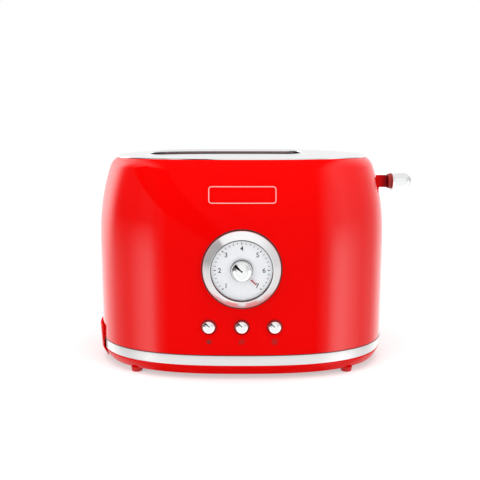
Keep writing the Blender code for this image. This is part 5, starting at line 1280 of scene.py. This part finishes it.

# %% [markdown]
# ## The lever
#
# The carriage is pushed down by a chrome bullet on a red arm, whose red darkens towards the collar in painted
# shade. A thick collar hides the joint between the two: a neck in dark red, which is a painted reflection of the
# body's shaded red end in the collar's chrome, with a chrome rim. The bullet is a barrel with an elliptical nose,
# turned about the lever's own axis.

# %% Make the collar and the knob
collar_box = np.array(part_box("lever_collar"))
knob_box = np.array(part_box("lever_knob"))
LEVER_Y = collar_box[:, 1].mean()
LEVER_Z = collar_box[:, 2].mean()
collar_radius = (collar_box[1][2] - collar_box[0][2]) / 2
collar_length = collar_box[1][0] - collar_box[0][0]
TENON = 0.0033
RIM = 0.0014
RIM_BACK = 0.0012
neck_end = collar_length - RIM - RIM_BACK
neck_radius = collar_radius - 0.0025
neck_profile = rounded(
    [
        (TENON, neck_end),
        (neck_radius, neck_end),
        (neck_radius - 0.0004, 0),
        (TENON, 0),
        (TENON, neck_end),
    ],
    [0, 0.0004, 0.0008, 0.0002, 0],
    8,
)
# The neck's dark red stands in for the body's shaded red mirrored in the collar's chrome: a painted reflection.
neck = turned("collar_neck_painted_reflection", neck_profile, (collar_box[0][0], LEVER_Y, LEVER_Z), "+x", dark_red, 96)
seat(neck, "carriage", "lever_collar")
rim_profile = rounded(
    [
        (TENON, neck_end + RIM),
        (collar_radius, neck_end + RIM),
        (collar_radius, neck_end),
        (TENON, neck_end),
        (TENON, neck_end + RIM),
    ],
    [0, 0.0006, 0.0006, 0.0002, 0],
    8,
)
rim = turned("collar_rim", rim_profile, (collar_box[0][0], LEVER_Y, LEVER_Z), "+x", chrome, 96)
seat(rim, "carriage", "lever_collar")

knob_radius = (knob_box[1][2] - knob_box[0][2]) / 2
knob_length = knob_box[1][0] - knob_box[0][0]
BARREL = 0.0095
arc = np.linspace(np.pi / 2, 0, 24)
nose = np.stack([knob_radius * np.cos(arc), BARREL + (knob_length - BARREL) * np.sin(arc)], axis=-1)
taper_corners = [(knob_radius, BARREL), (0.0072, -RIM_BACK), (TENON, -RIM_BACK), (TENON, 0.006), (0, 0.006)]
taper = rounded(taper_corners, [0, 0.0008, 0.0002, 0.0002, 0], 6)
knob = turned("knob_skin", np.concatenate([nose, taper[1:]]), (knob_box[0][0], LEVER_Y, LEVER_Z), "+x", chrome, 96)
seat(knob, "carriage", "lever_knob")
print("lever reaches x =", round(knob_box[1][0] * 1000, 1))

# %% [markdown]
# ## The works inside
#
# Through the slots and from below one sees the racks, the guards, the mica boards and the reflectors. Their
# flat and straight shapes are right as they come from the measured model, so they keep their meshes. Each
# of their material slots is given the finish of the same name.

# %% Dress the pieces that keep their mesh
LOOKS = {
    "red_lacquer": lacquer,
    "chrome": chrome,
    "red_moulding": red_moulding,
    "dark_red_moulding": dark_red,
    "red_rubber": red_rubber,
    "plain_steel": steel,
    "bright_steel": bright_steel,
    "mica": mica,
    "heater_wire": heater_wire,
    "laminations": dark_iron,
    "copper_winding": copper,
    "circuit_board": board_green,
    "black_moulding": black_moulding,
    "silver_face": silver,
    "clear_window": window_glass,
    "red_needle": needle_red,
}
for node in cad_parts.values():
    for place in node.material_slots:
        plain_name = place.material.name.split(".")[0]
        place.material = LOOKS[plain_name]
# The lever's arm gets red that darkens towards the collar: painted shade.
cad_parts["lever_arm"].material_slots[0].material = lever_arm_painted_shade_red
print("dressed", len(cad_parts), "measured pieces")

# %% [markdown]
# The return spring stands under the carriage. It is the one piece that changes its length; here its coils get a
# mesh copy of their own, which rides on the housing.

# %% Copy the return spring
spring_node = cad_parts["return_spring"]
spring = bpy.data.objects.new("spring_skin", spring_node.data.copy())
spring.data.transform(spring_node.matrix_world)
bpy.context.scene.collection.objects.link(spring)
seat(spring, "housing", "return_spring")
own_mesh(spring)

# %% [markdown]
# ## Floor, world and lamps
#
# The picture has a white ground that keeps only a soft grey shadow. The floor is pale and takes the
# shadow, and rays that come straight from the camera see some plain white added to it, more of it farther
# away. The world is plain white to the camera as well, while it lights the object at a modest level.

# %% Lay the floor
floor_mesh = bpy.data.meshes.new("floor")
FLOOR_REACH = 4.0
floor_corners = [(-FLOOR_REACH, -FLOOR_REACH, 0), (FLOOR_REACH, -FLOOR_REACH, 0)]
floor_corners += [(FLOOR_REACH, FLOOR_REACH, 0), (-FLOOR_REACH, FLOOR_REACH, 0)]
floor_mesh.from_pydata(floor_corners, [], [(0, 1, 2, 3)])
floor = bpy.data.objects.new("floor", floor_mesh)
bpy.context.scene.collection.objects.link(floor)
floor.visible_glossy = False

FLOOR_GLOW = 0.46
floor_look, tree, shader = new_material("pale floor")
set_shader(shader, Base_Color=(0.62, 0.62, 0.62, 1), Roughness=0.9, Specular_IOR_Level=0.0)
path = add_node(tree, "LightPath")
seen = add_node(
    tree, "Math", {"operation": "MAXIMUM"}, _0=path.outputs["Is Camera Ray"], _1=path.outputs["Is Transmission Ray"]
)
away = add_node(tree, "VectorMath", {"operation": "LENGTH"}, _0=add_node(tree, "TexCoord").outputs["Object"])
far = add_node(
    tree, "MapRange", {"interpolation_type": "SMOOTHSTEP"}, Value=away.outputs["Value"],
    From_Min=0.25, From_Max=0.9, To_Min=FLOOR_GLOW, To_Max=1.0
)
glow = add_node(tree, "Math", {"operation": "MULTIPLY"}, _0=seen.outputs["Value"], _1=far.outputs["Result"])
shader.inputs["Emission Color"].default_value = (1, 1, 1, 1)
tree.links.new(glow.outputs["Value"], shader.inputs["Emission Strength"])
floor_mesh.materials.append(floor_look)

print("floor reaches", FLOOR_REACH, "m each way")

# %% [markdown]
# ## What the gloss reflects
#
# Glossy paint shows the studio round it. The photograph tells what stood there: two upright bands of light,
# one to each side of the front, brighter near the floor, and a bright ground behind that lines both edges
# of the body. So a reflected ray finds a level that depends on its direction. The level is read from a
# table by the angle round the toaster, once for low rays and once for high ones, and the two are mixed.

# %% Set the world
BACKDROP_PEAK = 4.0
LOW_LEVELS = (
    (-180, 0.9), (-165, 1.0), (-155, 1.6), (-130, 2.0), (-112, 1.75), (-95, 0.9), (-80, 0.55), (-71, 0.6),
    (-62, 1.15), (-55, 1.65), (-49, 1.9), (-44.5, 1.7), (-41, 1.1), (-38, 0.75), (-35, 0.95), (-20, 1.0),
    (20, 1.0), (35, 0.95), (39, 0.75), (42, 0.9), (45.5, 1.6), (51, 2.4), (57, 2.5), (65, 1.85), (73, 1.35),
    (84, 0.8), (105, 0.85), (128, 1.65), (155, 1.6), (165, 1.0), (180, 0.9),
)
HIGH_LEVELS = (
    (-180, 0.9), (-165, 0.95), (-150, 1.3), (-132, 2.4), (-120, 3.2), (-110, 2.6), (-102, 1.2), (-95, 0.3),
    (-86, 0.12), (-62, 0.12), (-50, 0.2), (-40, 0.2), (-33, 0.8), (-18, 0.95), (18, 0.95), (31, 0.8),
    (46, 0.6), (58, 0.85), (72, 0.65), (84, 0.55), (105, 0.7), (128, 1.25), (150, 1.2), (165, 0.95), (180, 0.9),
)
AMBIENT = 0.55


def level_table(tree, share, levels):
    """A ramp over the full turn that gives the level, as a share of the peak, at each listed angle."""
    ramp = add_node(tree, "ValToRGB", Fac=share)
    stops = ramp.color_ramp.elements
    for angle, _ in levels[1:-1]:
        stops.new((angle + 180) / 360)
    for stop, (_, level) in zip(stops, levels):
        stop.color = (*[level / BACKDROP_PEAK] * 3, 1)
    return ramp.outputs["Color"]


world = bpy.data.worlds.new("studio")
bpy.context.scene.world = world
world.use_nodes = True
tree = world.node_tree
tree.nodes.clear()
background = add_node(tree, "Background", Color=(1, 1, 1, 1))
tree.links.new(background.outputs["Background"], tree.nodes.new("ShaderNodeOutputWorld").inputs["Surface"])
path = add_node(tree, "LightPath").outputs
way = add_node(tree, "SeparateXYZ", Vector=add_node(tree, "TexCoord").outputs["Generated"]).outputs
forward = add_node(tree, "Math", {"operation": "MULTIPLY"}, _0=way["Y"], _1=-1.0).outputs["Value"]
turn = add_node(tree, "Math", {"operation": "ARCTAN2"}, _0=way["X"], _1=forward).outputs["Value"]
share = add_node(tree, "MapRange", Value=turn, From_Min=-np.pi, From_Max=np.pi).outputs["Result"]
rise = add_node(tree, "MapRange", Value=way["Z"], From_Min=-0.23, From_Max=0.05).outputs["Result"]
zenith = add_node(tree, "MapRange", Value=way["Z"], From_Min=0.50, From_Max=0.78).outputs["Result"]
by_rise = add_node(
    tree, "Mix", {"data_type": "RGBA"}, _0=rise,
    _6=level_table(tree, share, LOW_LEVELS), _7=level_table(tree, share, HIGH_LEVELS)
)
lit = add_node(
    tree, "Mix", {"data_type": "RGBA"}, _0=zenith, _6=by_rise.outputs[2], _7=(*[0.86 / BACKDROP_PEAK] * 3, 1)
)
mirrored = add_node(tree, "Math", {"operation": "MULTIPLY"}, _0=lit.outputs[2], _1=BACKDROP_PEAK)
direct = add_node(
    tree, "Math", {"operation": "MAXIMUM"}, _0=path["Is Camera Ray"], _1=path["Is Transmission Ray"]
).outputs["Value"]
level = add_node(
    tree, "Mix", {"data_type": "FLOAT"}, _0=path["Is Glossy Ray"], _2=AMBIENT, _3=mirrored.outputs["Value"]
)
final = add_node(tree, "Mix", {"data_type": "FLOAT"}, _0=direct, _2=level.outputs[0], _3=1.0)
tree.links.new(final.outputs[0], background.inputs["Strength"])
print("levels in", len(LOW_LEVELS), "low and", len(HIGH_LEVELS), "high directions")

# %% [markdown]
# Domed chrome also mirrors the camera itself, as a small dark spot in each button and in the dial's cap.
# A dark card stands for the camera, and a bar for the boom that reaches from there to the upper left. It
# leaves the dark streak in each dome and the dark wedge in the ring. Only glossy rays see it.

# %% Stand the dark card and the boom by the camera


def dark_card(name, centre, far, near_width, far_width):
    """A disc round the camera, and a bar that runs from it to a far place and widens on the way."""
    turn = np.linspace(0, 2 * np.pi, 33)[:-1]
    disc = centre + CAMERA_DISC * np.stack([np.cos(turn), 0 * turn, np.sin(turn)], axis=-1)
    along = far - centre
    square = np.cross(along, DIAL - centre)
    square /= np.linalg.norm(square) * 2
    near_half, far_half = square * near_width, square * far_width
    bar = np.array([centre + near_half, centre - near_half, far - far_half, far + far_half])
    count = len(disc)
    mesh = bpy.data.meshes.new(name)
    faces = [list(range(count)), list(range(count, count + 4))]
    mesh.from_pydata(np.concatenate([disc, bar]).tolist(), [], faces)
    card = bpy.data.objects.new(name, mesh)
    bpy.context.scene.collection.objects.link(card)
    card.visible_camera = card.visible_diffuse = card.visible_transmission = card.visible_shadow = False
    return card


CAMERA_DISC = 0.06
BOOM_END = DIAL + 0.9 * np.array([-0.784, -0.125, 0.607])
stand = dark_card("dark_card", np.array(camera.location) - (0, 0.05, 0.20), BOOM_END, 0.05, 0.30)
card_black, _, card_shader = new_material("card black")
set_shader(card_shader, Base_Color=(0.01, 0.01, 0.01, 1), Roughness=0.9, Specular_IOR_Level=0.0)
stand.data.materials.append(card_black)
print("dark card from", np.round(camera.location, 2).tolist(), "to", BOOM_END.round(2).tolist())

# %% [markdown]
# Three large soft lamps light the object: one overhead, and one to the front on either side. The reflected
# bands are already in the world, so glossy rays pass the lamps by.

# %% Set up the lamps


def soft_lamp(name, place, target, size, power):
    """A rectangular lamp at a place, turned towards a target, that leaves no mark in the gloss."""
    data = bpy.data.lights.new(name, "AREA")
    data.shape = "RECTANGLE"
    data.size, data.size_y = size
    data.energy = power
    lamp = bpy.data.objects.new(name, data)
    lamp.location = place
    lamp.rotation_euler = (Vector(target) - Vector(place)).to_track_quat("-Z", "Y").to_euler()
    lamp.visible_glossy = False
    bpy.context.scene.collection.objects.link(lamp)
    return lamp


AIM = (CENTRE_X, CENTRE_Y, 0.10)
soft_lamp("overhead", (0.0, -0.25, 1.5), AIM, (1.2, 1.0), 12.6)
soft_lamp("left_bank", (-1.15, -0.95, 0.65), AIM, (0.5, 1.1), 6.0)
soft_lamp("right_bank", (1.15, -0.95, 0.65), AIM, (0.5, 1.1), 5.6)
print("three lamps aim at", tuple(round(float(v), 3) for v in AIM))
